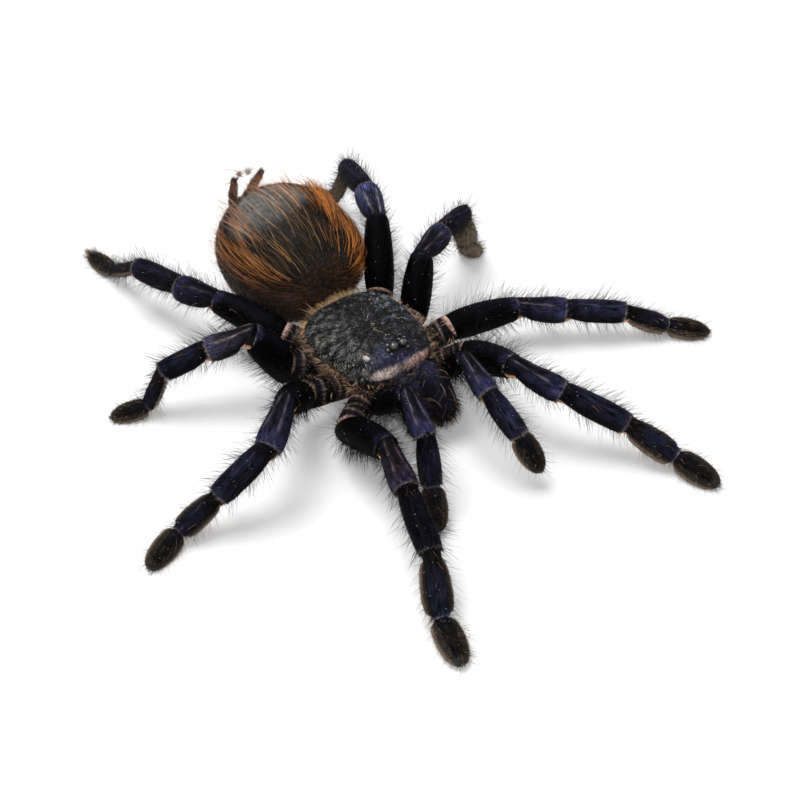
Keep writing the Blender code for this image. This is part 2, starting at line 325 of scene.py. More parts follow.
def threads(lines, radius, tones, tips):
    """Closed three-sided hairs along lines of points, tapering to a point, as a shell like Surface's.

    The radius of a ring falls with (1 - t)^0.4, t being its place along the line from 0 to 1,
    and the colour goes from tones at the root to tips at the end.
    """
    count, levels = lines.shape[0], lines.shape[1] - 1
    share = np.arange(levels + 1) / levels
    radius = np.broadcast_to(radius, count)
    lines = lines.copy()
    lines[..., 2] = np.maximum(lines[..., 2], FLOOR + 1.1 * radius[:, None])
    way = unit(lines[:, -1] - lines[:, 0])
    helper = np.where(np.abs(way[:, 2:]) < 0.8, [[0.0, 0.0, 1.0]], [[1.0, 0.0, 0.0]])
    side = unit(np.cross(way, helper))
    other = np.cross(way, side)
    angle = 2 * math.pi * np.arange(3)[:, None] / 3
    spokes = side[:, None] * np.cos(angle) + other[:, None] * np.sin(angle)
    girth = radius[:, None] * (1 - share[:-1]) ** 0.4
    rings = lines[:, :-1, None] + girth[:, :, None, None] * spokes[:, None]
    points = np.concatenate([rings.reshape(count, -1, 3), lines[:, -1:]], axis=1)
    corner, following = np.arange(3), (np.arange(3) + 1) % 3
    low = 3 * np.arange(levels - 1)[:, None]
    quads = np.stack([low + corner, low + following, low + 3 + following, low + 3 + corner], -1)
    top = 3 * (levels - 1)
    point = np.stack([top + corner, top + following, np.full(3, 3 * levels)], -1)
    base = (3 * levels + 1) * np.arange(count)[:, None, None]
    quads = (base + quads.reshape(-1, 4)).reshape(-1, 4)
    triangles = (base + np.concatenate([[[0, 2, 1]], point])).reshape(-1, 3)
    shade = np.append(np.repeat(share[:-1], 3), 1.0)
    colours = tones[:, None] + (tips - tones)[:, None] * shade[:, None]
    return points.reshape(-1, 3), quads, triangles, colours.reshape(-1, 3), None


# How far from a hair, in its own lengths, its leader's tip may be for it to join the clump, and
# how much a push away from the middle also points up.
CLUMP_REACH, PUSH_UP = 1.5, 0.7


def coat(surface, count, rng, length, radius, lift, sway=0.25, bend=0.0, levels=1, weight=None,
         tone=None, tip=1.4, sunk=0.05, drop=0.0, clumps=0, gather=0.7, spread=(0.6, 1.6),
         mottle=None, curl=0.0, push=0.0):
    """Hairs on a surface, as a shell. Length, lift and spread are ranges of random numbers.

    Hairs point along the surface, raised by lift degrees, turned aside by sway and bent toward
    the surface by bend and sideways by curl, with a downward pull of drop and a push away from
    the surface's middle and up. Their roots lie sunk millimetres below the surface, and weight
    says where they grow. Tips of the hairs of a clump gather at the tip of its leader. A hair
    leaves its root along first and ends along last: its line is the root plus length times
    (t first + t^2 / 2 (last - first)). Its colour is tone(share, turn), times a random number of
    spread, and times an uneven pattern where mottle gives its size, its least value and its
    seed. The end of a hair is tip times as light as its root.
    """
    root = surface.roots(count, rng, weight)
    rise = np.radians(rng.uniform(*lift, count))[:, None]
    flat = unit(root["along"] + root["around"] * rng.normal(0, sway, (count, 1)))
    outward = unit((root["place"] - surface.poles.mean(axis=0)) * [1, 1, 0]) + [0, 0, PUSH_UP]
    first = unit(flat * np.cos(rise) + root["normal"] * np.sin(rise) + [0, 0, -drop] + push * outward)
    aside = root["around"] * rng.normal(0, 1, (count, 1)) * curl
    last = unit(first + (flat * 0.6 - root["normal"]) * bend + aside)
    lengths = rng.uniform(*length, count)[:, None]
    if clumps:
        leader = rng.integers(0, count, clumps)
        nearest = nearest_of(root["place"], root["place"][leader])
        target = (root["place"] + (first + last) / 2 * lengths)[leader][nearest]
        aim = unit(target - root["place"])
        close = np.linalg.norm(target - root["place"], axis=1, keepdims=True) < CLUMP_REACH * lengths
        last = np.where(close, unit(last * (1 - gather) + aim * gather), last)
        first = np.where(close, unit(first * (1 - gather / 2) + aim * gather / 2), first)
    shade = (tone or surface.tone)(root["share"], root["turn"]) + np.zeros((count, 3))
    shade = shade * rng.uniform(*spread, (count, 1))
    if mottle is not None:
        size, least, seed = mottle
        pattern = ramp(-0.35, 0.45, ripple(root["place"], size, seed))[:, None]
        shade = shade * (least + (1 - least) * pattern)
    share = (np.arange(levels + 1) / levels)[:, None]
    route = share * first[:, None] + share**2 / 2 * (last - first)[:, None]
    lines = (root["place"] - root["normal"] * sunk)[:, None] + lengths[:, None] * route
    return threads(lines, radius * rng.uniform(0.8, 1.2, count), shade, shade * tip)


def nearest_of(places, leaders):
    """For each place the index of the nearest leader, a block of places at a time."""
    found = [
        ((block[:, None] - leaders) ** 2).sum(axis=-1).argmin(axis=1)
        for block in np.array_split(places, max(1, len(places) // 500))
    ]
    return np.concatenate(found)


class Coats:
    """Coats of hair that share one source of random numbers, gathered by their piece."""

    def __init__(self, seed):
        self.rng, self.grown = np.random.default_rng(seed), {}

    def grow(self, name, surface, count, length, radius, lift, **settings):
        """Adds a coat to a piece: as many hairs, as long, as thick and as raised, and coat's settings."""
        shell = coat(surface, int(count), self.rng, length, radius, lift, **settings)
        self.grown.setdefault(name, []).append(shell)


def piece(name, shells, finish, slot, *nodes):
    """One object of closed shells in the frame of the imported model, riding on the part's body."""
    offsets = np.cumsum([0] + [len(shell[0]) for shell in shells[:-1]])
    points = np.concatenate([shell[0] for shell in shells])
    points[:, 2] = np.maximum(points[:, 2], FLOOR + FLOOR_GAP)
    quads = np.concatenate([shell[1] + offset for shell, offset in zip(shells, offsets)])
    triangles = np.concatenate([shell[2] + offset for shell, offset in zip(shells, offsets)])
    tones = np.concatenate([shell[3] for shell in shells])
    mesh = bpy.data.meshes.new(name)
    mesh.vertices.add(len(points))
    mesh.vertices.foreach_set("co", ((points + SHIFT) * MM).astype(np.float32).ravel())
    corners = np.concatenate([quads.ravel(), triangles.ravel()]).astype(np.int32)
    starts = np.concatenate([4 * np.arange(len(quads)), 4 * len(quads) + 3 * np.arange(len(triangles))])
    mesh.loops.add(len(corners))
    mesh.loops.foreach_set("vertex_index", corners)
    mesh.polygons.add(len(starts))
    mesh.polygons.foreach_set("loop_start", starts.astype(np.int32))
    mesh.update(calc_edges=True)
    mesh.validate()
    colours = np.ones((len(points), 4), np.float32)
    colours[:, :3] = np.clip(tones, 0, 1)
    mesh.attributes.new("tone", "FLOAT_COLOR", "POINT").data.foreach_set("color", colours.ravel())
    if shells[0][4] is not None:
        grain = np.concatenate([shell[4] for shell in shells]).astype(np.float32)
        mesh.attributes.new("grain", "FLOAT_VECTOR", "POINT").data.foreach_set("vector", grain.ravel())
    mesh.shade_smooth()
    mesh.materials.append(finish)
    obj = bpy.data.objects.new(name, mesh)
    bpy.context.scene.collection.objects.link(obj)
    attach(obj, BODY)
    if nodes:
        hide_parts(*nodes)


def turns(columns):
    """Column angles, from under the limb round over its top."""
    return -math.pi + 2 * math.pi * np.arange(columns) / columns


def ball(middle, half_size, axes, tone, rows=14, columns=20):
    """An ellipsoid whose poles lie along the first of its three axes; the third is its top."""
    polar = math.pi * (np.arange(rows) + 1) / (rows + 1)
    turn = turns(columns)
    along, side, up = axes
    pole = along * half_size[0]
    ring = side * np.sin(turn)[:, None] * half_size[1] + up * np.cos(turn)[:, None] * half_size[2]
    points = middle - pole * np.cos(polar)[:, None, None] + ring * np.sin(polar)[:, None, None]
    return Surface(points, middle - pole, middle + pole, polar / math.pi, turn, tone)


def axes_along(direction, roll=0.0):
    """Along, side and up axes of a limb's segment: side is level before a roll in degrees."""
    along = unit(np.asarray(direction, float))
    side = unit(np.cross(along, [0, 0, 1.0]))
    up = np.cross(side, along)
    cosine, sine = math.cos(math.radians(roll)), math.sin(math.radians(roll))
    return along, side * cosine - up * sine, up * cosine + side * sine


# The rings that round off the end of a tube, from the outside in: size and place beyond the end,
# and the place of the pole, all in shares of the end's radius.
CAP_RINGS = ((0.55, 0.30), (0.88, 0.12))
CAP_POLE = 0.4


def tube(route, tone, rows=40, columns=28, form=None):
    """A round tube through (x, y, z, radius) points, with round ends.

    Its middle line and radius are smooth through the points, and form(share) times the radius
    may narrow it. Each ring stands square to the line, with its top away from the floor.
    """
    route = np.array(route)
    run = distances(route[:, :3])
    share = spaced(rows)
    places = smooth_through(run / run[-1], route, share)
    middle, radius = places[:, :3], places[:, 3]
    if form is not None:
        radius = radius * form(share)
    along = unit(np.gradient(middle, share, axis=0))
    side = unit(np.cross(along, unit(route[-1, :3] - route[0, :3]) + [0, 0, 3.0]))
    up = np.cross(side, along)
    turn = turns(columns)
    ring = side[:, None] * np.sin(turn)[:, None] + up[:, None] * np.cos(turn)[:, None]
    rings = middle[:, None] + radius[:, None, None] * ring

    def cap(end, outward):
        """The rings that round off one end."""
        centre, reach = middle[end], outward * radius[end]
        return [centre + reach * out + (rings[end] - centre) * size for size, out in CAP_RINGS]

    start, end = cap(0, -along[0]), cap(-1, along[-1])[::-1]
    poles = middle[0] - along[0] * radius[0] * CAP_POLE, middle[-1] + along[-1] * radius[-1] * CAP_POLE
    share = np.concatenate([[0, 0], share, [1, 1]])
    return Surface(np.concatenate([start, rings, end]), *poles, share, turn, tone)


# ---------------------------------------------------------------- shader arithmetic


class Value:
    """A shader socket in Python arithmetic: each operation adds a Math node."""

    def __init__(self, look, socket):
        self.look, self.socket = look, socket

    def math(self, operation, *others):
        """A Math node with this socket first."""
        return self.look.node("ShaderNodeMath", {"operation": operation}, dict(enumerate((self, *others))))

    def __add__(self, other):
        return self.math("ADD", other)

    def __sub__(self, other):
        return self.math("SUBTRACT", other)

    def __rsub__(self, other):
        return (self * -1) + other

    def __mul__(self, other):
        return self.math("MULTIPLY", other)

    __radd__, __rmul__ = __add__, __mul__

    def between(self, low, high):
        """0 below low and 1 above high, with a smooth S between."""
        inputs = {"Value": self, "From Min": low, "From Max": high}
        return self.look.node("ShaderNodeMapRange", {"interpolation_type": "SMOOTHSTEP"}, inputs)


class Look:
    """A material around one Principled shader, built in Python expressions."""

    def __init__(self, name, **finish):
        self.material = bpy.data.materials.new(name)
        self.material.use_nodes = True
        self.tree = self.material.node_tree
        self.shader = self.tree.nodes["Principled BSDF"]
        for socket, value in finish.items():
            self.set(socket.replace("_", " ").title().replace("Ior", "IOR"), value)

    def set(self, socket, value):
        """Sets or links a socket of the Principled shader."""
        self.connect(self.shader.inputs[socket], value)

    def connect(self, socket, value):
        """Links a socket to another, or sets its own value."""
        if isinstance(value, Value):
            self.tree.links.new(value.socket, socket)
        else:
            socket.default_value = (*value, 1.0) if np.ndim(value) and socket.type == "RGBA" else value

    def node(self, kind, settings=None, inputs=None, output=0):
        """Any node: its settings first, then the values or links of its sockets."""
        made = self.tree.nodes.new(kind)
        for name, value in (settings or {}).items():
            setattr(made, name, value)
        for name, value in (inputs or {}).items():
            self.connect(made.inputs[name], value)
        return Value(self, made.outputs[output])

    def tone(self):
        """The colour that the mesh carries."""
        return self.node("ShaderNodeAttribute", {"attribute_name": "tone"}, output="Color")

    def grain(self):
        """The surface straightened to a rod, in millimetres."""
        return self.node("ShaderNodeAttribute", {"attribute_name": "grain"}, output="Vector")

    def place(self):
        """Place on the object, in metres."""
        return self.node("ShaderNodeTexCoord", output="Object")

    def stretch(self, vector, scale):
        """A vector times a scale for each axis."""
        return self.node("ShaderNodeVectorMath", {"operation": "MULTIPLY"}, {0: vector, 1: scale})

    def noise(self, vector, scale, detail=3.0, roughness=0.6):
        """Noise from 0 to 1 at so many patches a unit."""
        inputs = {"Vector": vector, "Scale": scale, "Detail": detail, "Roughness": roughness}
        return self.node("ShaderNodeTexNoise", {}, inputs, output="Fac")

    def mix(self, share, first, second, kind="MIX"):
        """A colour between two by share."""
        settings = {"data_type": "RGBA", "blend_type": kind}
        return self.node("ShaderNodeMix", settings, {0: share, 6: first, 7: second}, output=2)

    def bump(self, height, distance, strength=1.0):
        """Relief of the surface, with distance in metres."""
        inputs = {"Height": height, "Distance": distance, "Strength": strength}
        self.set("Normal", self.node("ShaderNodeBump", {}, inputs))


def fur_skin(name, lightest, darkest, streak=(0.35, 5.0, 5.0), relief=0.00012, **finish):
    """Skin under fur: the mesh's tone in fine streaks along the limb, raised by the same streaks."""
    look = Look(name, **finish)
    streaks = look.noise(look.stretch(look.grain(), streak), 1.0, 4.0)
    patches = look.noise(look.grain(), 0.5, 2.0)
    share = (streaks * 0.75 + patches * 0.25).between(0.36, 0.64)
    pale = look.mix(1.0, look.tone(), (lightest,) * 3, "MULTIPLY")
    dark = look.mix(1.0, look.tone(), (darkest,) * 3, "MULTIPLY")
    look.set("Base Color", look.mix(share, dark, pale))
    look.bump(streaks, relief)
    return look.material


def hair_look(name, **finish):
    """A hair takes the mesh's tone, a little lighter and darker from place to place."""
    look = Look(name, **finish)
    patches = look.noise(look.place(), 900.0, 2.0).between(0.3, 0.7)
    dark = look.mix(1.0, look.tone(), (0.72,) * 3, "MULTIPLY")
    look.set("Base Color", look.mix(patches, dark, look.tone()))
    return look.material


def speckled(name, pale_share, scale, relief, **finish):
    """The mesh's tone with fine pale and dark specks, and relief to match."""
    look = Look(name, **finish)
    specks = look.noise(look.place(), scale, 5.0, 0.7)
    share = specks.between(0.35, 0.68)
    dark = look.mix(1.0, look.tone(), (1 - pale_share,) * 3, "MULTIPLY")
    pale = look.mix(1.0, look.tone(), (1 + pale_share,) * 3, "MULTIPLY")
    look.set("Base Color", look.mix(share, dark, pale))
    look.bump(specks, relief)
    return look.material


LEG_FUR = fur_skin("leg_fur", 2.5, 0.15, roughness=0.5, specular_ior_level=0.02)
CHELICERA_FUR = fur_skin("chelicera_fur", 1.6, 0.4, roughness=0.6, specular_ior_level=0.08)
ABDOMEN_SKIN = fur_skin("abdomen_fur", 1.4, 0.6, streak=(1.2, 1.6, 1.6), relief=0.0002, roughness=0.55,
                        specular_ior_level=0.15)
SPINNERET_SKIN = fur_skin("spinneret_fur", 1.6, 0.5, roughness=0.6, specular_ior_level=0.2)
CUTICLE = speckled("carapace_cuticle", 0.55, 1800.0, 0.00012, roughness=0.38, specular_ior_level=0.10)
JOINT_SKIN = speckled("joint_skin", 0.3, 1500.0, 0.0001, roughness=0.5, specular_ior_level=0.1,
                      subsurface_weight=0.15, subsurface_scale=0.001)
PAD_VELVET = speckled("foot_pad", 0.6, 6000.0, 0.0001, roughness=0.8, specular_ior_level=0.08)
HORN = speckled("fang_horn", 0.4, 1500.0, 0.00003, roughness=0.16, coat_weight=0.5, coat_roughness=0.08)
LENS = speckled("eye_lens", 0.35, 1500.0, 0.00003, roughness=0.12, coat_weight=0.5, coat_roughness=0.04)
VELVET_HAIR = hair_look("velvet_hair", roughness=0.5, specular_ior_level=0.0)
DARK_HAIR = hair_look("leg_hair", roughness=0.45, specular_ior_level=0.06)
GLINT_HAIR = hair_look("glint_hair", roughness=0.3, specular_ior_level=0.2)
BRIGHT_HAIR = hair_look("bright_hair", roughness=0.45, specular_ior_level=0.1)


# ---------------------------------------------------------------- colour of each kind of segment

ARC_PINK = np.array([0.30, 0.23, 0.21])
FOOT_BLACK = np.array([0.0045, 0.0040, 0.0038])
FOOT_GREY = np.array([0.024, 0.023, 0.021])
PAD_BLACK = np.array([0.0065, 0.0058, 0.0055])
PAD_GREY = np.array([0.036, 0.035, 0.032])


def coxa_tone(share, turn):
    """Dark brown, with two thin pink arcs over the outer half."""
    arcs = 0.2 * ridge(0.62 + 0.10 * turn, 0.03, share) + 0.35 * ridge(0.86 - 0.05 * turn, 0.03, share)
    return blend(COXA_BROWN * 0.3, PINK, arcs * near_top(turn, 1.9, 1.2))


def trochanter_tone(share, turn):
    """Black, with two thin pink arcs, a violet one and a pink crescent at the outer end of the top."""
    over = near_top(turn, 1.8, 1.2)
    arcs = 0.15 * ridge(0.06 + 0.10 * turn, 0.05, share) + 0.40 * ridge(0.38 - 0.06 * turn, 0.05, share)
    tone = blend(BLACK * 2, ARC_PINK, arcs * over)
    tone = blend(tone, VIOLET * 1.2, 0.4 * ridge(0.56, 0.05, share) * over)
    skin = blend(PINK * 0.35, PINK * 0.9, ramp(0.74, 0.94, share) + 0 * turn)
    return blend(tone, skin, ramp(0.70, 0.76, share - 0.10 * turn**2) * near_top(turn, 1.9, 1.3))


def broken(turn):
    """How strong a pale edge is round a rim: from 0 to 1, by the product of two sine waves."""
    return (0.5 + 0.5 * np.sin(5 * turn + 1.0)) * (0.6 + 0.4 * np.sin(13 * turn))


def femur_tone(share, turn):
    """Black, with a painted dark blue sheen along the top, a violet patch and a pale edge at the outer end.
    """
    # Painted sheen: the top is bluer where the light from above falls on the velvet.
    tone = blend(BLACK * 0.4, NIGHT * 0.6, 0.8 * near_top(turn, 0.9, 0.2) * ramp(0.10, 0.45, share))
    tone = blend(tone, VIOLET * 1.2, 0.9 * ramp(0.84, 0.97, share) * near_top(turn, 1.3, 0.6))
    return blend(tone, EDGE, 0.8 * ramp(0.972, 0.992, share) * broken(turn) * near_top(turn, 2.1, 1.3))


def stripes(share, turn, apart, width, until):
    """Two bare lines along the top of a segment, drawing apart outward, up to a share of it."""
    lines = ridge(apart * (0.75 + 0.5 * share), width, np.abs(turn))
    return lines * ramp(until + 0.08, until - 0.08, share) * ramp(0.0, 0.08, share)


def patella_tone(share, turn):
    """Violet black, lighter on top by a painted highlight, with two pale lines there, a brighter blue outer
    end and a pale edge.
    """
    over = near_top(turn, 2.2, 0.8)
    # Violet gathers on the top: partly the fur's own colour, partly a painted highlight from the light
    # above.
    tone = blend(BLACK, VIOLET, (0.05 + 0.60 * over) * (0.45 + 0.55 * ramp(0.05, 0.60, share)))
    tone = blend(tone, BLACK * 1.5, 0.85 * ridge(0.0, 0.28, turn) * ramp(0.85, 0.55, share))
    tone = blend(tone, RIM_BLUE, 0.9 * ramp(0.66, 0.95, share) * near_top(turn, 2.2, 1.0))
    tone = blend(tone, STRIPE, 0.85 * stripes(share, turn, 0.48, 0.07, 0.75))
    return blend(tone, EDGE, 0.6 * ramp(0.965, 0.994, share) * (0.35 + 0.65 * broken(turn)))


def tibia_tone(share, turn):
    """Blue black, bluer on top by a painted sheen, with two faint lines on top, darker at the inner end,
    with a pale edge.
    """
    over = near_top(turn, 1.9, 0.6)
    # Bluer on top: partly the fur's own blue, partly a painted sheen from the light above.
    tone = blend(BLACK, NIGHT * 1.3, 0.05 + 0.80 * over)
    tone = blend(BLACK, tone, 0.2 + 0.8 * ramp(0.02, 0.35, share))
    tone = blend(tone, VIOLET * 1.4, 0.6 * stripes(share, turn, 0.38, 0.07, 0.86))
    tone = blend(tone, VIOLET, 0.5 * ramp(0.80, 0.97, share) * over)
    return blend(tone, EDGE, 0.6 * ramp(0.970, 0.996, share) * (0.35 + 0.65 * broken(turn)))


def metatarsus_tone(share, turn):
    """Black with a painted blue sheen on top, bluer at the outer end, with a pale edge."""
    over = near_top(turn, 1.6, 0.5)
    # The blue on top is painted sheen, where the light from above falls.
    tone = blend(BLACK * 1.5, NIGHT, over * ramp(0.1, 0.5, share))
    tone = blend(tone, VIOLET, 0.7 * ramp(0.86, 0.97, share) * over)
    return blend(tone, EDGE, 0.7 * ramp(0.960, 0.99, share) * (0.35 + 0.65 * broken(turn)))


def tarsus_tone(share, turn):
    """Brown black on top of the foot, with a blue tinge at the inner end and a greyer tip."""
    tone = blend(FOOT_BLACK, NIGHT * 0.8, 0.6 * ramp(0.4, 0.1, share) + 0 * turn)
    return blend(tone, FOOT_GREY, 0.6 * ramp(0.84, 0.97, share))


def pad_tone(share, turn):
    """Brown velvet that turns black toward the middle of the top, and greyer at the tip."""
    dark = near_top(turn, 1.40, 0.90) + ramp(0.93, 1.0, share)
    tone = blend(PAD_BROWN, PAD_BLACK, 0.92 * np.minimum(dark, 1))
    return blend(tone, PAD_GREY, 0.6 * ramp(0.86, 0.96, share) * near_top(turn, 1.8, 1.2))


def skin_tone(share, turn):
    """Peach below, near black at the sides and on top."""
    return blend(PEACH, BLACK * 2.0, near_top(turn, 1.95, 1.65) + 0 * share)


# ---------------------------------------------------------------- limbs

LEG_SEGMENTS = ("femur", "patella", "tibia", "metatarsus", "tarsus")
PALP_SEGMENTS = ("femur", "patella", "tibia", "tarsus")
FEET = ("metatarsus", "tarsus")
# Swelling of each kind of segment: (share of its length, share of its largest radius).
FORMS = {
    "coxa": ((0.0, 0.80), (0.12, 0.88), (0.6, 0.94), (1.0, 0.86)),
    "trochanter": ((0.0, 0.84), (0.35, 0.90), (0.75, 0.92), (1.0, 0.88)),
    "femur": ((0.0, 0.84), (0.08, 0.93), (0.2, 0.99), (0.5, 1.0), (0.8, 0.90), (0.94, 0.82), (1.0, 0.78)),
    "patella": ((0.0, 0.76), (0.12, 0.84), (0.38, 0.97), (0.70, 1.10), (0.90, 1.08), (1.0, 0.98)),
    "tibia": ((0.0, 0.80), (0.10, 0.89), (0.30, 1.01), (0.68, 1.06), (0.92, 1.00), (1.0, 0.92)),
    "metatarsus": ((0.0, 0.90), (0.15, 0.92), (0.35, 1.0), (0.70, 1.05), (0.92, 0.95), (1.0, 0.88)),
    "tarsus": ((0.0, 0.80), (0.15, 0.95), (0.50, 1.0), (0.80, 0.80), (1.0, 0.45)),
}
# The same for the broad brushes under the feet.
PAD_FORMS = {
    "metatarsus": (
        (0.08, 0.50), (0.16, 0.76), (0.32, 0.94), (0.52, 1.02), (0.78, 1.0), (0.92, 0.82), (0.99, 0.42)),
    "tarsus": (
        (0.02, 0.50), (0.10, 0.82), (0.32, 1.03), (0.62, 1.0), (0.85, 0.76), (0.96, 0.48), (1.0, 0.28)),
}
TONES = {
    "coxa": coxa_tone,
    "trochanter": trochanter_tone,
    "femur": femur_tone,
    "patella": patella_tone,
    "tibia": tibia_tone,
    "metatarsus": metatarsus_tone,
    "tarsus": tarsus_tone,
}
# How far the underside is cut back at the inner and the outer end, in shares of the radius.
CUTS = {"femur": (0.0, 0.40), "patella": (0.44, 0.14), "tibia": (0.12, 0.24), "metatarsus": (0.26, 0.1)}
# How far the middle of a segment bows up, in millimetres.
BOWS = {"femur": 0.35, "metatarsus": 0.25, "tibia": 0.1}
# The rings that roll in at the outer end and that tuck in at the root: millimetres beyond the
# end, and share of the end's radius. The tone's share runs on over them.
RIM_ROLL = ((0.06, 0.985), (0.10, 0.93), (-0.05, 0.86), (-0.45, 0.70))
RIM_SHARES = (1.0, 1.01, 1.04, 1.06)
ROOT_TUCK = ((-1.1, 0.60), (-0.8, 0.85), (-0.35, 0.96))
ROOT_SHARES = (-0.06, -0.04, -0.02)
# How far the skin of a piece is lifted by its short fur, in millimetres.
FUR_LIFT = 0.08
# How full a segment is against the radius of the solid: thin inside the brushes of the feet.
FULLNESS = {"tibia": 1.06, "metatarsus": 0.72, "tarsus": 0.60}
FEMUR_FULLNESS = {"leg_3_right": 1.12}
# How full the brushes of the feet are against that radius, and against each other.
PAD_FULLNESS = 1.13
PAD_VARIATION = {
    "leg_3_left": {"metatarsus": 1.25, "tarsus": 1.25},
    "leg_3_right": {"metatarsus": 0.78},
    "leg_4_left": {"metatarsus": 0.85},
    "leg_4_right": {"metatarsus": 0.74},
}
# The section of a brush: its height above and below its middle line, and how far this line lies
# below the segment's, in shares of half its width. The core ends inside the brush of the last
# segment, at a share of its length.
PAD_TOP, PAD_BOTTOM, PAD_DROP = 0.44, 0.80, 0.10
TARSUS_SHARE = 0.95
# How far from the joint of the solids a femur starts, in millimetres.
FEMUR_STARTS = {
    "leg_1_right": (-0.6, -0.8, -1.2),
    "leg_2_right": (-1.9, 0.8, 0.3),
    "leg_3_right": (-2.2, 1.4, -0.6),
    "leg_4_right": (-0.2, 1.0, 0.2),
}
# How far the feet of a limb are turned about their length, in degrees.
FOOT_ROLLS = {
    "leg_1_left": 22,
    "leg_2_left": 22,
    "leg_4_left": 10,
    "palp_left": 30,
    "leg_2_right": -32,
    "leg_3_right": -25,
    "leg_4_right": -15,
}
# How long the loose hairs of a foot are where they stand out, in millimetres.
SHAGGY_FEET = {
    "leg_2_left": 0.9,
    "leg_3_left": 1.7,
    "leg_4_left": 1.0,
    "leg_3_right": 0.8,
    "leg_4_right": 1.0,
}
# From what length of these hairs on a tuft stands on the tip of the foot.
SHAGGY_TIP = 1.0
# How many times more hairs hang under the femur of a limb.
THICKETS = {"palp_right": 2.6, "palp_left": 1.6, "leg_1_right": 1.5}
# Fuzz on the rims of a limb: how many times EDGE_HAIRS stand there, as many times paler than EDGE.
RIM_FUZZ = {"leg_3_right": 2.2, "leg_4_right": 2.2, "leg_4_left": 2.0, "palp_right": 1.6, "palp_left": 1.6}
LEAST_FUZZ = 1.2
# Where between the coxa's inner end and the femur the trochanter starts.
COXA_SHARE = 0.66
# The most that a ring leans into a joint, as a slope.
STEEPEST_LEAN = 0.8
# How much of the lean into a joint the outer end of a segment takes.
OUTER_LEAN = 0.45
# The ball of skin in a joint: its half size along, across and up, and how far it lies below the
# joint, in shares of the rim's radius; and how far above the rim before it a segment may start.
SKIN_SIZE = (1.05, 0.97, 0.97)
SKIN_SHARE, SKIN_DROP, STEP_SHARE = 0.90, 0.12, 0.75
# Where a claw starts, to the side of a foot's tip, behind it and above it, and its (ahead, up,
# radius) from there on, in millimetres.
CLAW_APART, CLAW_BEHIND, CLAW_ABOVE = 0.22, 0.15, 0.05
CLAW_BEND = ((0.0, 0.0, 0.13), (0.35, 0.12, 0.12), (0.62, 0.02, 0.09), (0.74, -0.22, 0.03))
# How strong the colour of a segment is against the rest, in all or in red, green and blue.
SHEEN = {
    "leg_1_right": {
        "femur": 0.40, "patella": (1.0, 0.80, 0.66), "tibia": 0.25, "metatarsus": 1.4, "trochanter": 1.0},
    "leg_2_right": {"femur": 0.12, "trochanter": 0.60},
    "leg_3_right": {"femur": 0.70, "patella": (1.8, 1.7, 1.2), "tibia": 0.8, "trochanter": 0.65},
    "leg_4_right": {"femur": 0.70, "patella": 0.65, "tibia": 0.70, "trochanter": 0.75},
    "leg_2_left": {"tibia": 1.6, "patella": 1.2, "trochanter": 0.9},
    "leg_1_left": {"tibia": 1.1, "metatarsus": 1.4, "trochanter": 0.6},
    "leg_3_left": {"femur": 0.20, "trochanter": 0.5},
    "leg_4_left": {"femur": 0.08, "patella": (2.4, 2.6, 2.6), "trochanter": 0.5},
    "palp_right": {"patella": 1.15, "tibia": 0.7, "trochanter": 0.3},
    "palp_left": {"tibia": 1.35, "trochanter": 0.3},
}


def sleeve(start, end, radius, kind, before=None, after=None, rise=0.0, roll=0.0, sheen=1.0, rows=40,
           columns=56):
    """One limb segment as a closed sleeve, with a rolled rim at its outer end.

    A ring's radius is the form's swelling times the largest radius, plus the lift of the fur.
    Toward a joint the rings lean into the plane halfway between the two segments: each point
    moves along the segment by minus its offset's part along that plane's normal, over the
    segment's own. The middle line bows up by a parabola and starts higher by rise, and the
    underside is cut back at both ends, so that the skin of the joint shows.
    """
    along, side, up = axes_along(end - start, roll)
    length = np.linalg.norm(end - start)
    share = spaced(rows)
    places, swelling = zip(*FORMS[kind])
    girth = smooth_through(places, swelling, share) * radius + FUR_LIFT
    root, rim = np.array(ROOT_TUCK), np.array(RIM_ROLL)
    run = np.concatenate([root[:, 0], share * length, length + rim[:, 0]])
    girth = np.concatenate([girth[0] * root[:, 1], girth, girth[-1] * rim[:, 1]])
    turn = turns(columns)
    reach = np.clip(run / length, 0, 1)
    ring = side * np.sin(turn)[:, None] + up * np.cos(turn)[:, None]
    shift = np.zeros((len(run), columns))
    for neighbour, near in ((before, ramp(0.5, 0.0, reach)), (after, OUTER_LEAN * ramp(0.5, 1.0, reach))):
        if neighbour is not None:
            normal = unit(along + neighbour)
            slope = np.clip(-(ring @ normal) / (along @ normal), -STEEPEST_LEAN, STEEPEST_LEAN)
            shift += near[:, None] * slope * girth[:, None]
    inner, outer = CUTS.get(kind, (0.0, 0.0))
    under = ((1 - np.cos(turn)) / 2) ** 1.4
    shift += radius * (inner * ramp(0.35, 0.0, reach) - outer * ramp(0.65, 1.0, reach))[:, None] * under
    lift = BOWS.get(kind, 0.0) * 4 * reach * (1 - reach) + rise * ramp(0.45, 0.0, reach)
    middle = start + along * run[:, None] + up * lift[:, None]
    points = middle[:, None] + girth[:, None, None] * ring + along * shift[..., None]
    poles = points[0].mean(axis=0) - along * 0.05, points[-1].mean(axis=0) - along * 0.1

    def tone(share, turn):
        """The segment's own tone, black on its tucked root and inside its rolled rim."""
        hidden = np.minimum(ramp(-0.005, -0.02, share) + ramp(1.002, 1.009, share), 1)
        return blend(TONES[kind](np.clip(share, 0, 1), turn) * sheen, BLACK, hidden + 0 * turn)

    return Surface(points, *poles, np.concatenate([ROOT_SHARES, share, RIM_SHARES]), turn, tone)


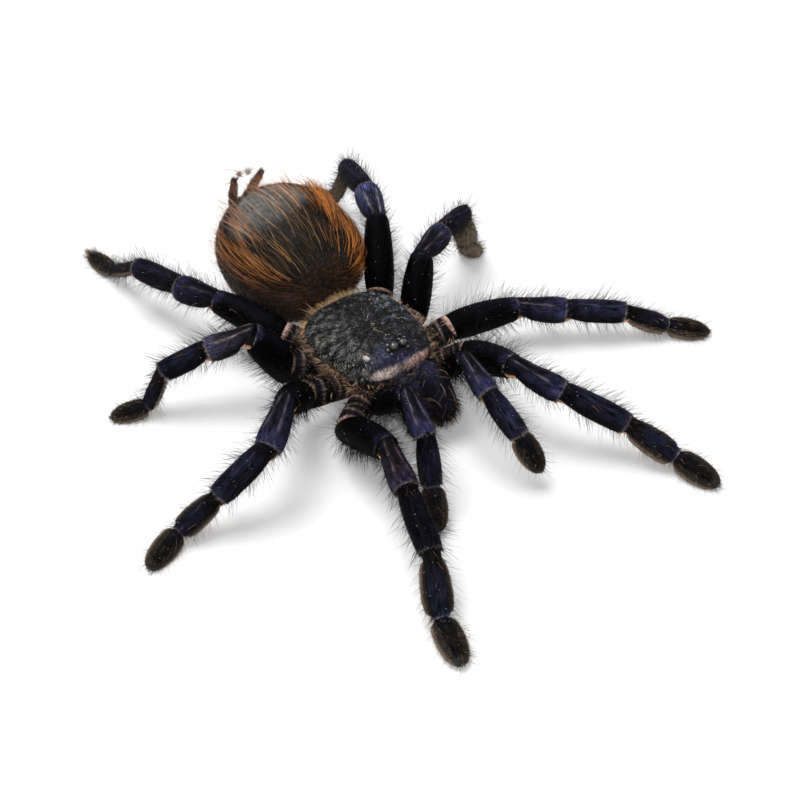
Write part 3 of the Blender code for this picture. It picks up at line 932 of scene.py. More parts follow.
def pad(start, end, radius, form, roll, rows=30, columns=44):
    """The brush of a foot segment: an oval tube, wider than high and flatter on top."""
    along, side, up = axes_along(end - start, roll)
    places, swelling = zip(*form)
    share = places[0] + (places[-1] - places[0]) * spaced(rows)
    girth = smooth_through(places, swelling, share) * radius
    turn = turns(columns)
    height = np.where(np.cos(turn) > 0, PAD_TOP, PAD_BOTTOM)
    across = side * np.sin(turn)[:, None] + up * (np.cos(turn) * height)[:, None]
    middle = start + (end - start) * share[:, None] - up * (PAD_DROP * girth[:, None])
    points = middle[:, None] + girth[:, None, None] * across
    caps = [(points[0] + middle[0]) / 2 - along * 0.12, (points[-1] + middle[-1]) / 2 + along * 0.12]
    points = np.concatenate([caps[:1], points, caps[1:]])
    share = np.concatenate([share[:1], share, share[-1:]])
    poles = middle[0] - along * 0.18, middle[-1] + along * 0.18
    return Surface(points, *poles, share, turn, pad_tone)


def limb_joints(name):
    """The inner end of a limb's coxa, its joints from the femur to the tip, and its segments' radii."""
    pair_name, side_name = name.rsplit("_", 1)
    pair = LIMB_PAIRS[pair_name]
    base, headings, climbs = POSTURES[name]
    x, y, z = pair["coxa"]
    inner = np.array([x if side_name == "left" else -x, y, z])
    headings, climbs = np.radians(headings), np.radians(climbs)
    level = np.cos(climbs)
    steps = np.stack([level * np.cos(headings), level * np.sin(headings), np.sin(climbs)], -1)
    steps = steps * np.array(pair["lengths"])[:, None]
    joints = np.array(base) + np.concatenate([np.zeros((1, 3)), steps.cumsum(axis=0)])
    return inner, joints, np.array(pair["radii"])


def plain(colour):
    """A tone that is the same everywhere on a surface."""
    def tone(share, turn):
        return np.array(colour) + 0 * (share + turn)[..., None]
    return tone


def bare_lines(kind):
    """Where velvet grows on a segment: little on its bare lines and on its rim."""
    def weight(share, turn):
        lines = stripes(share, turn, 0.40, 0.10, 0.82) * (kind in ("patella", "tibia"))
        return 1 - 0.85 * lines - 0.6 * ramp(0.95, 0.98, share)
    return weight


def above(share, turn):
    """More hairs on top than at the sides, none below."""
    return 0.25 + near_top(turn, 1.4, 0.5) - 1.2 * ramp(1.9, 2.4, np.abs(turn)) + 0 * share


def around(share, turn):
    """Hairs all round."""
    return 1 + 0 * (share + turn)


def beside(share, turn):
    """Hairs on both sides, a little above the middle."""
    return ridge(1.35, 0.5, np.abs(turn)) + 0.05 + 0 * share


def below(share, turn):
    """Hairs on the underside and the lower sides."""
    return ramp(1.5, 2.2, np.abs(turn)) + 0.02 + 0 * share


def inner_part(share, turn):
    """Hairs on the upper half, up to three fifths of the way out."""
    return near_top(turn, 2.2, 1.4) * ramp(0.62, 0.50, share)


def at_edge(share, turn):
    """Fuzz on the outer rim of a segment."""
    return ramp(0.935, 0.965, share) * ramp(1.02, 1.005, share) + 0 * turn


def at_tip(share, turn):
    """Hairs on the tip of a foot, above."""
    return ramp(0.80, 0.95, share) * near_top(turn, 2.0, 1.4)


def on_top(share, turn):
    """Hairs on the upper half alone."""
    return near_top(turn, 1.9, 1.2) + 0 * share


def off_top(share, turn):
    """The brush of a foot, thinner on the middle of its top."""
    return 0.25 + 0.75 * ramp(0.6, 1.2, np.abs(turn)) + 0 * share


def claws(tip, direction, up, side):
    """Two small hooks at the tip of a foot, each a thin tube that curves down to a point."""
    made = []
    for way in (-1, 1):
        start = tip + side * way * CLAW_APART - direction * CLAW_BEHIND + up * CLAW_ABOVE
        route = [(*(start + direction * ahead + up * rise), size) for ahead, rise, size in CLAW_BEND]
        route = [(x, y, max(z, FLOOR + size + 0.02), size) for x, y, z, size in route]
        made.append(tube(route, plain(UMBER), rows=12, columns=10))
    return made


def limb_solids(name):
    """The closed forms of one limb: sleeves by kind, pads by kind, and the skin of its joints."""
    inner, joints, radii = limb_joints(name)
    trochanter = inner + (joints[0] - inner) * COXA_SHARE
    joints[0] += FEMUR_STARTS.get(name, (0, 0, 0))
    kinds = PALP_SEGMENTS if name.startswith("palp") else LEG_SEGMENTS
    ways = unit(np.diff(joints, axis=0))
    sheens = SHEEN[name]
    sleeves = {
        "coxa": sleeve(inner, trochanter, radii[0], "coxa", rows=24, columns=40),
        "trochanter": sleeve(
            trochanter, joints[0], radii[0], "trochanter", after=ways[0], sheen=sheens["trochanter"],
            rows=24, columns=48),
    }
    pads, skins = {}, []
    rim, rise = radii[0], 0.0
    roll = FOOT_ROLLS.get(name, 0)
    for k, kind in enumerate(kinds):
        start, end, radius = joints[k], joints[k + 1], radii[k]
        if kind in FEET:
            fullness = PAD_VARIATION.get(name, {}).get(kind, 1.0)
            pads[kind] = pad(start, end, radius * PAD_FULLNESS * fullness, PAD_FORMS[kind], roll)
        radius = radius * FULLNESS.get(kind, 1.0)
        if kind == "femur":
            radius = radius * FEMUR_FULLNESS.get(name, 1.0)
        if kind == "tarsus":
            end = start + (end - start) * TARSUS_SHARE
        if k:
            rise = max(STEP_SHARE * (rim - FORMS[kind][0][1] * radius), 0.0)
            axes = axes_along(ways[k - 1] + ways[k])
            half_size = [SKIN_SHARE * rim * part for part in SKIN_SIZE]
            skins.append(ball(joints[k] - axes[2] * SKIN_DROP * rim, half_size, axes, skin_tone))
        before = ways[k - 1] if k else unit(joints[0] - inner)
        after = ways[k + 1] if k + 1 < len(kinds) else None
        turned = roll if kind in FEET else 0.0
        sleeves[kind] = sleeve(start, end, radius, kind, before, after, rise, turned, sheens.get(kind, 1.0))
        rim = FORMS[kind][-1][1] * radius
    return sleeves, pads, skins


# The pieces of hair of a limb: name, finish and slot.
LIMB_HAIRS = (
    ("velvet", VELVET_HAIR, "leg_fur"),
    ("bristles", DARK_HAIR, "leg_fur"),
    ("gold_hairs", BRIGHT_HAIR, "leg_fur"),
    ("brush", VELVET_HAIR, "foot_pad"),
    ("dust_and_glints", GLINT_HAIR, "leg_fur"),
)
BASE_GOLD = np.array([0.66, 0.42, 0.25])
BRUSH_PALE = np.array([0.34, 0.26, 0.18])
TUFT_BROWN = np.array([0.30, 0.19, 0.11])
LOOSE_BROWN = np.array([0.200, 0.145, 0.088])
LOOSE_UMBER = np.array([0.090, 0.062, 0.040])
# Of each kind of segment: the longest bristles on it, how many stand on it and how many hairs
# hang below it for each unit of its area, and the number of its gold hairs.
LONGEST = {"femur": 6.2, "patella": 4.6, "tibia": 5.6, "metatarsus": 4.4, "tarsus": 4.4}
STANDING = {"femur": 4.8, "patella": 4.8, "tibia": 4.8, "metatarsus": 2.6, "tarsus": 2.6}
HANGING = {"femur": 8.0, "patella": 3.8, "tibia": 3.8, "metatarsus": 1.4, "tarsus": 1.4}
GOLD_HAIRS = {"femur": 2, "patella": 3, "tibia": 5, "metatarsus": 7, "tarsus": 5}
# Hairs on the rim of a patella or a tibia.
EDGE_HAIRS = 220


def base_hairs(coats, sheath, area):
    """Velvet, bristles and curly gold hairs on the inner part of a coxa or a trochanter."""
    coats.grow("velvet", sheath, 5 * area, (0.4, 0.9), 0.040, (10, 40), sway=0.7, bend=0.5,
               weight=inner_part, tone=plain(COXA_BROWN * 0.3), spread=(0.05, 1.6))
    coats.grow("bristles", sheath, 3 * area, (1.0, 2.2), 0.034, (40, 80), sway=0.8, bend=-0.2, levels=3,
               weight=inner_part, tone=plain(UMBER), curl=0.6)
    coats.grow("gold_hairs", sheath, 2.0 * area, (1.2, 2.6), 0.034, (25, 70), sway=0.8, bend=0.5, levels=4,
               weight=inner_part, tone=plain(BASE_GOLD), clumps=int(0.3 * area) + 1, gather=0.6,
               spread=(0.05, 1.3), curl=1.2)


def segment_hairs(coats, kind, sheath, area, thicket, fuzz):
    """Velvet, bristles, hanging hairs, gold hairs, pale specks of dust and painted glints on a segment, and
    the fuzz of its rim.

    A thicket is how many times more hairs hang under the femur, and fuzz how many times more
    and paler hairs stand on the rims.
    """
    coats.grow("velvet", sheath, 14 * area, (0.45, 1.1), 0.038, (6, 20), sway=0.14, bend=0.2,
               weight=bare_lines(kind), spread=(0.15, 2.4), tip=1.2)
    coats.grow("bristles", sheath, STANDING[kind] * area, (1.8, LONGEST[kind]), 0.024, (46, 74), sway=0.20,
               bend=0.15, levels=3, weight=above, tone=plain(UMBER), tip=2.0, spread=(0.5, 2.2), curl=0.15)
    coats.grow("bristles", sheath, 3.2 * area, (0.9, 2.6), 0.028, (35, 68), sway=0.35, bend=-0.1, levels=2,
               weight=around, tone=plain(UMBER * 0.4), tip=1.5, spread=(0.5, 1.6), curl=0.2)
    hanging = HANGING[kind] * (thicket if kind == "femur" else 1)
    coats.grow("bristles", sheath, hanging * area, (1.3, 4.2), 0.028, (42, 72), sway=0.20, bend=0.1,
               levels=3, weight=below, tone=plain(UMBER * 0.45), tip=1.4, spread=(0.4, 1.6),
               drop=0.30, curl=0.12)
    coats.grow("velvet", sheath, 6.0 * area, (0.6, 1.6), 0.026, (35, 70), sway=0.35,
               weight=around, tone=plain(UMBER * 0.7), tip=1.4, spread=(0.4, 1.8), drop=0.1)
    coats.grow("gold_hairs", sheath, GOLD_HAIRS[kind], (1.2, 2.8), 0.028, (5, 25), sway=0.5, bend=0.3,
               levels=3, weight=on_top, tone=plain(GOLD), spread=(0.4, 1.3), curl=0.6)
    # Tiny pale specks: partly dust, partly painted glints of light on the hairs.
    coats.grow("dust_and_glints", sheath, int(0.2 * area) + 4, (0.12, 0.34), 0.052, (10, 70), sway=2.0,
               weight=on_top, tone=plain(GLINT), sunk=-0.06, spread=(0.2, 1.1))
    if kind in ("patella", "tibia"):
        coats.grow("velvet", sheath, EDGE_HAIRS * fuzz, (0.25, 0.75), 0.034, (10, 50), sway=0.4,
                   weight=at_edge, tone=plain(EDGE * fuzz), spread=(0.1, 1.1))


def foot_hairs(coats, kind, brush, area, shaggy):
    """The brush of a foot with its pale tips, its loose hairs as long as shaggy, and fine bristles."""
    coats.grow("brush", brush, 40 * area, (0.22, 0.42), 0.040, (35, 70), sway=0.4, weight=off_top, tip=1.3,
               spread=(0.1, 2.6))
    coats.grow("brush", brush, 6 * area, (0.15, 0.40), 0.045, (20, 70), sway=1.0, weight=on_top,
               tone=plain(BRUSH_PALE), sunk=-0.04, spread=(0.05, 1.3))
    if shaggy >= SHAGGY_TIP and kind == "tarsus":
        coats.grow("brush", brush, 60, (shaggy, 2.2 * shaggy), 0.050, (30, 65), sway=0.5, levels=3,
                   weight=at_tip, tone=plain(TUFT_BROWN), tip=1.3, clumps=5, gather=0.6,
                   spread=(0.1, 1.3), curl=0.4)
    if shaggy:
        coats.grow("brush", brush, 9 * area, (0.5 * shaggy, shaggy), 0.045, (10, 50), sway=0.45, bend=0.2,
                   levels=2, weight=on_top, tone=plain(LOOSE_BROWN), tip=1.3, spread=(0.06, 1.4), curl=0.5)
        coats.grow("brush", brush, 7 * area, (0.5 * shaggy, shaggy), 0.045, (20, 60), sway=0.45, bend=0.2,
                   levels=2, weight=below, tone=plain(LOOSE_UMBER), tip=1.3, spread=(0.10, 1.6), curl=0.5)
    coats.grow("bristles", brush, 1.4 * area, (1.4, 4.0), 0.012, (40, 75), sway=0.2, bend=0.1, levels=3,
               weight=beside, tone=plain(UMBER * 4), tip=1.6, curl=0.15)
    coats.grow("bristles", brush, 1.2 * area, (1.4, 4.0), 0.014, (40, 75), sway=0.2, bend=0.1, levels=3,
               weight=on_top, tone=plain(UMBER * 2), tip=1.6, curl=0.15)
    coats.grow("gold_hairs", brush, 0.4 * area, (0.9, 2.2), 0.028, (8, 35), sway=0.6, bend=0.2, levels=2,
               weight=on_top, tone=plain(GOLD), spread=(0.3, 1.2), curl=0.4)


def limb_hairs(name, sleeves, pads, girth, seed):
    """All hairs of one limb. A form's area is taken as its length times the girth of the femur."""
    coats = Coats(seed)
    thicket, fuzz = THICKETS.get(name, 1.0), RIM_FUZZ.get(name, LEAST_FUZZ)
    for kind, sheath in sleeves.items():
        area = np.linalg.norm(sheath.poles[1] - sheath.poles[0]) * girth
        if kind in ("coxa", "trochanter"):
            base_hairs(coats, sheath, area)
        else:
            segment_hairs(coats, kind, sheath, area, thicket, fuzz)
    for kind, brush in pads.items():
        area = np.linalg.norm(brush.poles[1] - brush.poles[0]) * girth
        foot_hairs(coats, kind, brush, area, SHAGGY_FEET.get(name, 0))
    return coats.grown


def limb(name, seed):
    """All pieces of one limb."""
    _, joints, radii = limb_joints(name)
    sleeves, pads, skins = limb_solids(name)
    piece(name + "_segments", [form.shell() for form in sleeves.values()], LEG_FUR, "leg_fur", name)
    piece(name + "_skin", [form.shell() for form in skins], JOINT_SKIN, "joint_skin")
    piece(name + "_pads", [form.shell() for form in pads.values()], PAD_VELVET, "foot_pad")
    along, side, up = axes_along(joints[-1] - joints[-2], FOOT_ROLLS.get(name, 0))
    piece(name + "_claws", [form.shell() for form in claws(joints[-1], along, up, side)], HORN, "fang_horn")
    grown = limb_hairs(name, sleeves, pads, radii[0], seed)
    for kind, finish, slot in LIMB_HAIRS:
        piece(f"{name}_{kind}", grown[kind], finish, slot)


# ---------------------------------------------------------------- carapace

# The shield in plan: half its width and length, how much narrower it gets toward the head, and
# how square it is, as the power n in |x|^n + |y|^n = 1.
HALF_WIDTH, HALF_LENGTH = 10.2, 11.8
HEAD_TAPER = 0.14
SQUARENESS = 3
# Its height: the dome with the power that flattens it, the rise of the head, and the eye
# tubercle and the central pit with their sizes.
DOME_RISE, DOME_POWER = 5.2, 0.85
HEAD_RISE, TUBERCLE_RISE, TUBERCLE_SIZE, TUBERCLE_Y = 0.7, 1.1, 1.4, -8.4
PIT_DEPTH, PIT_SIZE, PIT_Y = 0.7, 1.5, -0.9
# Grooves from the pit to the legs: their angles from the head, in radians, width and depth.
GROOVE_ANGLES = (0.62, 1.22, 1.72, 2.25)
GROOVE_WIDTH, GROOVE_DEPTH = 0.11, 0.32
# The rings under the rim: size in plan and depth below the rim.
UNDER_RIM = ((1.0, 0.25), (0.96, 0.35), (0.8, 0.1))
# Eyes: how far the middle stands over the shield and how flat they are, in shares of the radius.
EYE_RISE, EYE_FLATNESS = 0.30, 0.9
# Their plan place, radius and how pale the pole is, with its painted reflection. The first two are the
# large dark pair.
EYES = (
    (-0.60, -8.15, 0.95, 0.05),
    (1.40, -8.05, 0.85, 0.05),
    (-1.50, -8.90, 0.40, 0.06),
    (2.10, -8.80, 0.40, 0.06),
    (-1.25, -7.15, 0.36, 0.14),
    (1.35, -7.00, 0.34, 0.14),
    (-1.70, -7.95, 0.40, 0.10),
    (2.25, -7.80, 0.38, 0.10),
)

SHIELD_BLACK = np.array([0.0035, 0.0038, 0.0045])
SHIELD_EDGE = np.array([0.0045, 0.0045, 0.0050])
SHIELD_GREY = np.array([0.072, 0.076, 0.071])
BARE_PINK = np.array([0.40, 0.33, 0.32])
STREAK_GREEN = np.array([0.300, 0.306, 0.280])
STREAK_DULL = np.array([0.088, 0.092, 0.112])
# The blue grey of a painted sheen on the streaks of the left flank.
STREAK_SHEEN_BLUE = np.array([0.250, 0.290, 0.380])
STREAK_VIOLET = np.array([0.085, 0.088, 0.200])
STREAK_GOLD = np.array([0.36, 0.22, 0.11])
STREAK_BLACK = np.array([0.003, 0.0032, 0.004])
DUST_CREAM = np.array([0.60, 0.56, 0.46])
PIT_GOLD = np.array([0.60, 0.44, 0.22])
RIM_TAN = np.array([0.64, 0.43, 0.32])
RIM_GOLD = np.array([1.0, 0.62, 0.34])
REAR_GOLD = np.array([1.0, 0.66, 0.38])
CORNER_TAN = np.array([0.60, 0.37, 0.25])
FRONT_BROWN = np.array([0.030, 0.020, 0.015])
BROW_CREAM = np.array([0.60, 0.48, 0.43])
# The pale of an eye's pole: partly the lens's own grey, partly a painted reflection.
LENS_PALE_AND_REFLECTION = np.array([1.0, 0.90, 0.82])


def carapace_height(x, y):
    """Height of the shield over the plan, as in the solid, with grooves from the pit to the legs."""
    plan_y = (y - CARAPACE_MIDDLE_Y) / HALF_LENGTH
    plan_x = x / (HALF_WIDTH * (1 - HEAD_TAPER * np.maximum(0.0, -plan_y)))
    reach = (np.abs(plan_x) ** SQUARENESS + np.abs(plan_y) ** SQUARENESS) ** (1 / SQUARENESS)
    dome = np.sqrt(np.clip(1 - reach**2, 0, 1)) ** DOME_POWER
    height = RIM_Z + DOME_RISE * dome
    height = height + HEAD_RISE * dome * np.exp(-((y - TUBERCLE_Y) ** 2 + 0.5 * x**2) / 18)
    tubercle = np.exp(-(x**2 + (y - TUBERCLE_Y) ** 2) / (2 * TUBERCLE_SIZE**2))
    height = height + TUBERCLE_RISE * dome * tubercle
    height = height - PIT_DEPTH * np.exp(-(x**2 + (y - PIT_Y) ** 2) / (2 * PIT_SIZE**2))
    angle = np.arctan2(np.abs(x), -(y - PIT_Y))
    out = np.hypot(x, y - PIT_Y)
    groove = sum(ridge(a, GROOVE_WIDTH, angle) for a in GROOVE_ANGLES)
    return height - GROOVE_DEPTH * groove * ramp(1.0, 3.0, out) * ramp(0.98, 0.6, reach)


def plan_of(share, turn):
    """Plan place of a share and turn of the shield."""
    x, y = -np.sin(turn), -np.cos(turn)
    widen = (np.abs(x) ** SQUARENESS + np.abs(y) ** SQUARENESS) ** (-1 / SQUARENESS)
    reach = np.sin(np.clip(share, 0, 1) * np.pi / 2) * widen
    across = HALF_WIDTH * reach * x * (1 - HEAD_TAPER * np.maximum(0, -reach * y))
    return across, CARAPACE_MIDDLE_Y + HALF_LENGTH * reach * y


def carapace_surface(rows=72, columns=144):
    """The shield: rings of the squared plan, from the top down over the rim and in below."""
    share = (np.arange(rows) + 1) / rows
    turn = turns(columns)
    across, ahead = plan_of(share[:, None], turn)
    rings = np.stack([across, ahead, carapace_height(across, ahead)], -1)
    rings = rings + ripple(rings, 2.2, 5)[..., None] * [0, 0, 0.07]
    rings[-1, :, 2] = RIM_Z
    centre = np.array([0, CARAPACE_MIDDLE_Y, RIM_Z])
    under = [centre + (rings[-1] - centre) * size - [0, 0, depth] for size, depth in UNDER_RIM]
    top = np.array([0, CARAPACE_MIDDLE_Y, carapace_height(0.0, CARAPACE_MIDDLE_Y)])
    share = np.concatenate([share, [1.01, 1.02, 1.05]])
    return Surface(np.concatenate([rings, under]), top, centre, share, turn, carapace_tone)


def bare_spot(x, y):
    """The pale oval on the right side of the head and a fainter one before it, as a share from 0 to 1."""
    pale = oval(x, y, (-5.6, -6.5), (0.50, 0.62), 0.25)
    return np.maximum(pale, 0.5 * oval(x, y, (-7.0, -7.9), (0.36, 0.52), 0.25))


def at_brow(share, turn):
    """The band along the front edge, above the chelicerae."""
    x, y = plan_of(share, turn)
    return ramp(8.3, 7.3, np.abs(x - 0.4)) * ramp(-10.0, -10.5, y - 0.030 * x**2) * ramp(0.94, 0.91, share)


def brow_tone(share, turn):
    """Cream right of the middle of the band, darker in the middle, pink at its ends and violet behind."""
    x, y = plan_of(share, turn)
    tone = blend(BROW_CREAM, PINK * 1.5, ramp(2.0, 6.0, np.abs(x + 3.5)))
    tone = blend(tone, COXA_BROWN * 1.5, 0.75 * ridge(-0.6, 1.5, x) + 0 * y)
    return blend(VIOLET * 6.0, tone, ramp(-9.7, -10.8, y - 0.030 * x**2))


def carapace_tone(share, turn):
    """Near black with grey patches at the sides, violet over the head, black under the eyes.

    In front lies the pale band, with a dark spot at its right end, two bare spots stand on the
    right of the head, and the rim is pinkish but in front.
    """
    x, y = plan_of(share, turn)
    tone = blend(SHIELD_BLACK, SHIELD_EDGE, ramp(3.0, 8.0, np.hypot(x, y)))
    angle, out = np.arctan2(x, y - PIT_Y), np.hypot(x, y - PIT_Y)
    patches = ramp(-0.05, 0.5, ripple(np.stack([5 * angle, 0.8 * out, 0 * out], -1), 1.5, 12))
    side = ramp(-1.0, -6.5, x) + 0.5 * ramp(1.5, 6.5, x) * ramp(-4.0, 1.0, y)
    tone = blend(tone, SHIELD_GREY, patches * (0.06 + 0.94 * side) * ramp(1.0, 3.0, out))
    tone = blend(tone, VIOLET * 2.0, 0.9 * ridge(-1.6, 4.6, x) * ramp(-5.2, -7.8, y))
    tone = blend(tone, BLACK, spot(x, y, (0.4, -7.8), (2.4, 1.3), power=4))
    tone = blend(tone, brow_tone(share, turn), 0.9 * np.clip(at_brow(share, turn), 0, 1))
    tone = blend(tone, BLACK * 2, 0.9 * spot(x, y, (-7.3, -9.2), (1.0, 0.8)))
    tone = blend(tone, BARE_PINK, bare_spot(x, y))
    return blend(tone, PINK * 0.8, 0.8 * ramp(0.975, 1.0, share) * ramp(-8.0, -6.0, y))


def streak_tone(share, turn):
    """Grey green on the right, duller toward the middle, a painted blue-grey sheen on the left, violet on
    the head.

    Toward the rear rim the streaks turn golden.
    """
    x, y = plan_of(share, turn)
    tone = blend(STREAK_GREEN, STREAK_DULL, ramp(-7.0, -1.5, x) + 0 * y)
    # A painted blue-grey sheen on the left flank.
    tone = blend(tone, STREAK_SHEEN_BLUE, ramp(1.0, 6.0, x) * ramp(-4.0, 1.0, y))
    tone = blend(tone, STREAK_VIOLET, 0.95 * ridge(-1.6, 4.8, x) * ramp(-4.8, -7.5, y))
    return blend(tone, STREAK_GOLD, 0.4 * ramp(0.90, 1.0, share) * ramp(-2.0, 6.0, y))


def rim_hair_tone(share, turn):
    """Pinkish tan at the sides, gold at the rear."""
    x, y = plan_of(share, turn)
    return blend(RIM_TAN, RIM_GOLD, ramp(7.0, 11.0, y) + 0 * x)


def streaked(share, turn):
    """Where streaks grow: not on the eyes, the bare spots, the pale band or the underside."""
    x, y = plan_of(share, turn)
    eyes = spot(x, y, (0.5, -8.0), (2.2, 1.3))
    return np.clip(1 - eyes * 1.4 - 1.2 * bare_spot(x, y) - at_brow(share, turn), 0, 1) * (share < 1.0)


def at_pit(share, turn):
    """The edge of the pit in the middle."""
    x, y = plan_of(share, turn)
    return ridge(0.3, 0.6, x) * ridge(PIT_Y, 1.3, y) * (share < 1.0)


def at_rim(share, turn):
    """The rim, more at the rear and the sides than in front."""
    return ramp(0.93, 0.98, share) * (share < 1.03) * (0.06 + 0.94 * ramp(0.8, 1.5, np.abs(turn)))


def at_rear_rim(share, turn):
    """The slope behind, next to the rim, where long hairs stand."""
    x, y = plan_of(share, turn)
    return ramp(0.78, 0.90, share) * (share < 1.0) * ramp(5.0, 9.0, y) * ridge(1.0, 2.7, x)


def at_rear_corner(share, turn):
    """The corner of the rim behind on the right, over the root of the fourth leg."""
    x, y = plan_of(share, turn)
    return ramp(0.93, 0.98, share) * (share < 1.03) * ramp(4.0, 8.0, y) * ridge(-6.2, 2.6, x)


def under_brow(share, turn):
    """The front edge under the pale band."""
    _, y = plan_of(share, turn)
    return ramp(0.92, 0.95, share) * (share < 1.03) * ramp(-7.0, -9.0, y)


def lens_tone(shade):
    """The tone of an eye: dark round the edge and pale at the pole that looks out, partly a painted
    reflection.
    """
    def tone(share, turn):
        return blend(BLACK * 3, LENS_PALE_AND_REFLECTION * shade, ramp(0.66, 0.84, share) + 0 * turn)
    return tone


def carapace_hairs(shield):
    """The shield's streaks and its fringe, by piece.

    The streaks are broad ones and thin ones in clumps, short black ones between them, pale
    dusty ones and a few in the pit. The fringe grows on the rim, long on the slope behind and at
    the rear right corner, short on the pale band and brown below it.
    """
    coats = Coats(SEEDS["carapace"])
    coats.grow("streaks", shield, 3600, (0.4, 1.0), 0.105, (2, 10), sway=0.4, bend=0.4, levels=2,
               weight=streaked, tone=streak_tone, tip=1.0, clumps=300, gather=0.6,
               spread=(0.02, 1.4), mottle=(2.1, 0.0, 71), curl=0.5)
    coats.grow("streaks", shield, 2400, (0.5, 1.4), 0.044, (4, 20), sway=0.5, bend=0.3, levels=2,
               weight=streaked, tone=streak_tone, tip=1.2, clumps=400, gather=0.8,
               spread=(0.02, 1.3), mottle=(3.0, 0.0, 74), curl=0.7)
    coats.grow("streaks", shield, 5200, (0.5, 1.1), 0.046, (5, 25), sway=0.6, bend=0.3,
               weight=streaked, tone=plain(STREAK_BLACK), spread=(0.2, 2.0))
    coats.grow("streaks", shield, 800, (0.2, 0.7), 0.052, (8, 40), sway=0.9, bend=0.3, levels=2,
               weight=streaked, tone=plain(DUST_CREAM), tip=1.3,
               spread=(0.05, 1.4), mottle=(3.0, 0.0, 72), curl=0.8)
    coats.grow("streaks", shield, 26, (0.3, 0.7), 0.060, (10, 40), sway=0.9, bend=0.3, levels=2,
               weight=at_pit, tone=plain(PIT_GOLD), tip=1.3, spread=(0.2, 1.2))
    coats.grow("fringe", shield, 1900, (0.8, 2.8), 0.042, (5, 50), sway=0.7, bend=0.3, levels=2,
               weight=at_rim, tone=rim_hair_tone, tip=1.3, clumps=170, gather=0.8,
               spread=(0.05, 1.4), mottle=(1.3, 0.10, 77), curl=0.9, push=1.4)
    coats.grow("fringe", shield, 900, (1.8, 4.4), 0.050, (30, 75), sway=0.5, levels=3,
               weight=at_rear_rim, tone=plain(REAR_GOLD), tip=1.0, clumps=90, gather=0.5,
               spread=(0.55, 1.2), curl=0.5, push=0.6)
    coats.grow("fringe", shield, 520, (2.0, 5.0), 0.050, (5, 50), sway=0.9, bend=0.2, levels=4,
               weight=at_rear_corner, tone=plain(CORNER_TAN), tip=1.2, clumps=40, gather=0.8,
               spread=(0.05, 1.4), drop=0.35, curl=1.2)
    coats.grow("fringe", shield, 1500, (0.25, 0.55), 0.034, (2, 8), sway=0.45, bend=0.3,
               weight=at_brow, tone=brow_tone, tip=1.0, spread=(0.75, 1.15))
    coats.grow("fringe", shield, 900, (0.8, 2.0), 0.040, (5, 40), sway=0.5, bend=0.5, levels=2,
               weight=under_brow, tone=plain(FRONT_BROWN), tip=1.3, spread=(0.1, 2.0), drop=0.6, curl=0.5)
    return coats.grown


def carapace():
    """The shield with its appressed streaks, its fringe, the pale band in front and the eyes."""
    shield = carapace_surface()
    grown = carapace_hairs(shield)
    piece("carapace_shield", [shield.shell()], CUTICLE, "carapace_cuticle", "carapace")
    piece("carapace_streaks", grown["streaks"], GLINT_HAIR, "carapace_cuticle")
    piece("carapace_fringe", grown["fringe"], BRIGHT_HAIR, "carapace_cuticle")
    lenses = []
    for x, y, size, shade in EYES:
        middle = np.array([x, y, carapace_height(x, y) + EYE_RISE * size])
        half_size = size, size, size * EYE_FLATNESS
        axes = axes_along(np.array([x * 0.5, -1.0, 0.6]))
        lenses.append(ball(middle, half_size, axes, lens_tone(shade), rows=22, columns=28))
    piece("eyes", [lens.shell() for lens in lenses], LENS, "eye_lens")


# ---------------------------------------------------------------- abdomen

# Directions in which the sac swells, and how far.
SAC_BULGES = (((0.62, -0.76, 0.15), 0.9), ((-0.40, -0.78, -0.48), 1.0))
# Its folds: how far apart they are, how deep, and their seed.
SAC_FOLDS = ((5.0, 0.16, 3), (1.7, 0.05, 4))
# The sac's mean radius, for the places of its folds.
FOLD_SCALE = 14
# How many strands start together in a lock.
LOCK = 2
# The largest part of red, green or blue that a strand may have.
BRIGHTEST = 0.85
# A strand sways by two sine waves: height in degrees, and half turns from its root to its tip.
SLOW_WAVE, FAST_WAVE = (1.1, 1.8), (0.2, 4.0)

SAC_BLACK = np.array([0.0030, 0.0025, 0.0023])
SAC_FRONT = np.array([0.018, 0.012, 0.009])
SAC_RIGHT = np.array([0.046, 0.027, 0.020])
SAC_LEFT = np.array([0.040, 0.022, 0.014])
BALD_GREY = np.array([0.095, 0.103, 0.094])
BALD_DARK = np.array([0.045, 0.050, 0.050])
FUZZ_BROWN = np.array([0.013, 0.0085, 0.0065])
FUZZ_BLACK = np.array([0.0026, 0.0023, 0.0023])
FRONT_FUZZ = np.array([0.060, 0.036, 0.024])
RUST = np.array([0.38, 0.15, 0.05])
LOW_BROWN = np.array([0.20, 0.10, 0.06])
PALE_TAN = np.array([0.60, 0.31, 0.18])


def sac_angles(share, turn):
    """A place of the sac in degrees: from the rear pole, and from the top toward the left side."""
    return 180 * (1 - share), np.degrees(turn)


def bald(share, turn):
    """The bare patch at the upper rear, as a share from 0 to 1."""
    return oval(*sac_angles(share, turn), (80, -12), (24, 40), 0.2)


def abdomen_tone(share, turn):
    """Near black, brown in front and low at both sides, grey on the bare patch."""
    rear, side = sac_angles(share, turn)
    tone = blend(SAC_BLACK, SAC_FRONT, ramp(138, 158, rear) + 0 * side)
    tone = blend(tone, SAC_RIGHT, ramp(-66, -95, side) * ramp(70, 100, rear))
    tone = blend(tone, SAC_LEFT, ramp(60, 95, side) * ramp(70, 100, rear))
    bare = blend(BALD_GREY, BALD_DARK, ramp(80, 100, rear) + 0 * side)
    return blend(tone, bare, bald(share, turn))


def furred(share, turn):
    """Where fuzz grows: everywhere but on the bare patch."""
    return 1 - 0.93 * bald(share, turn)


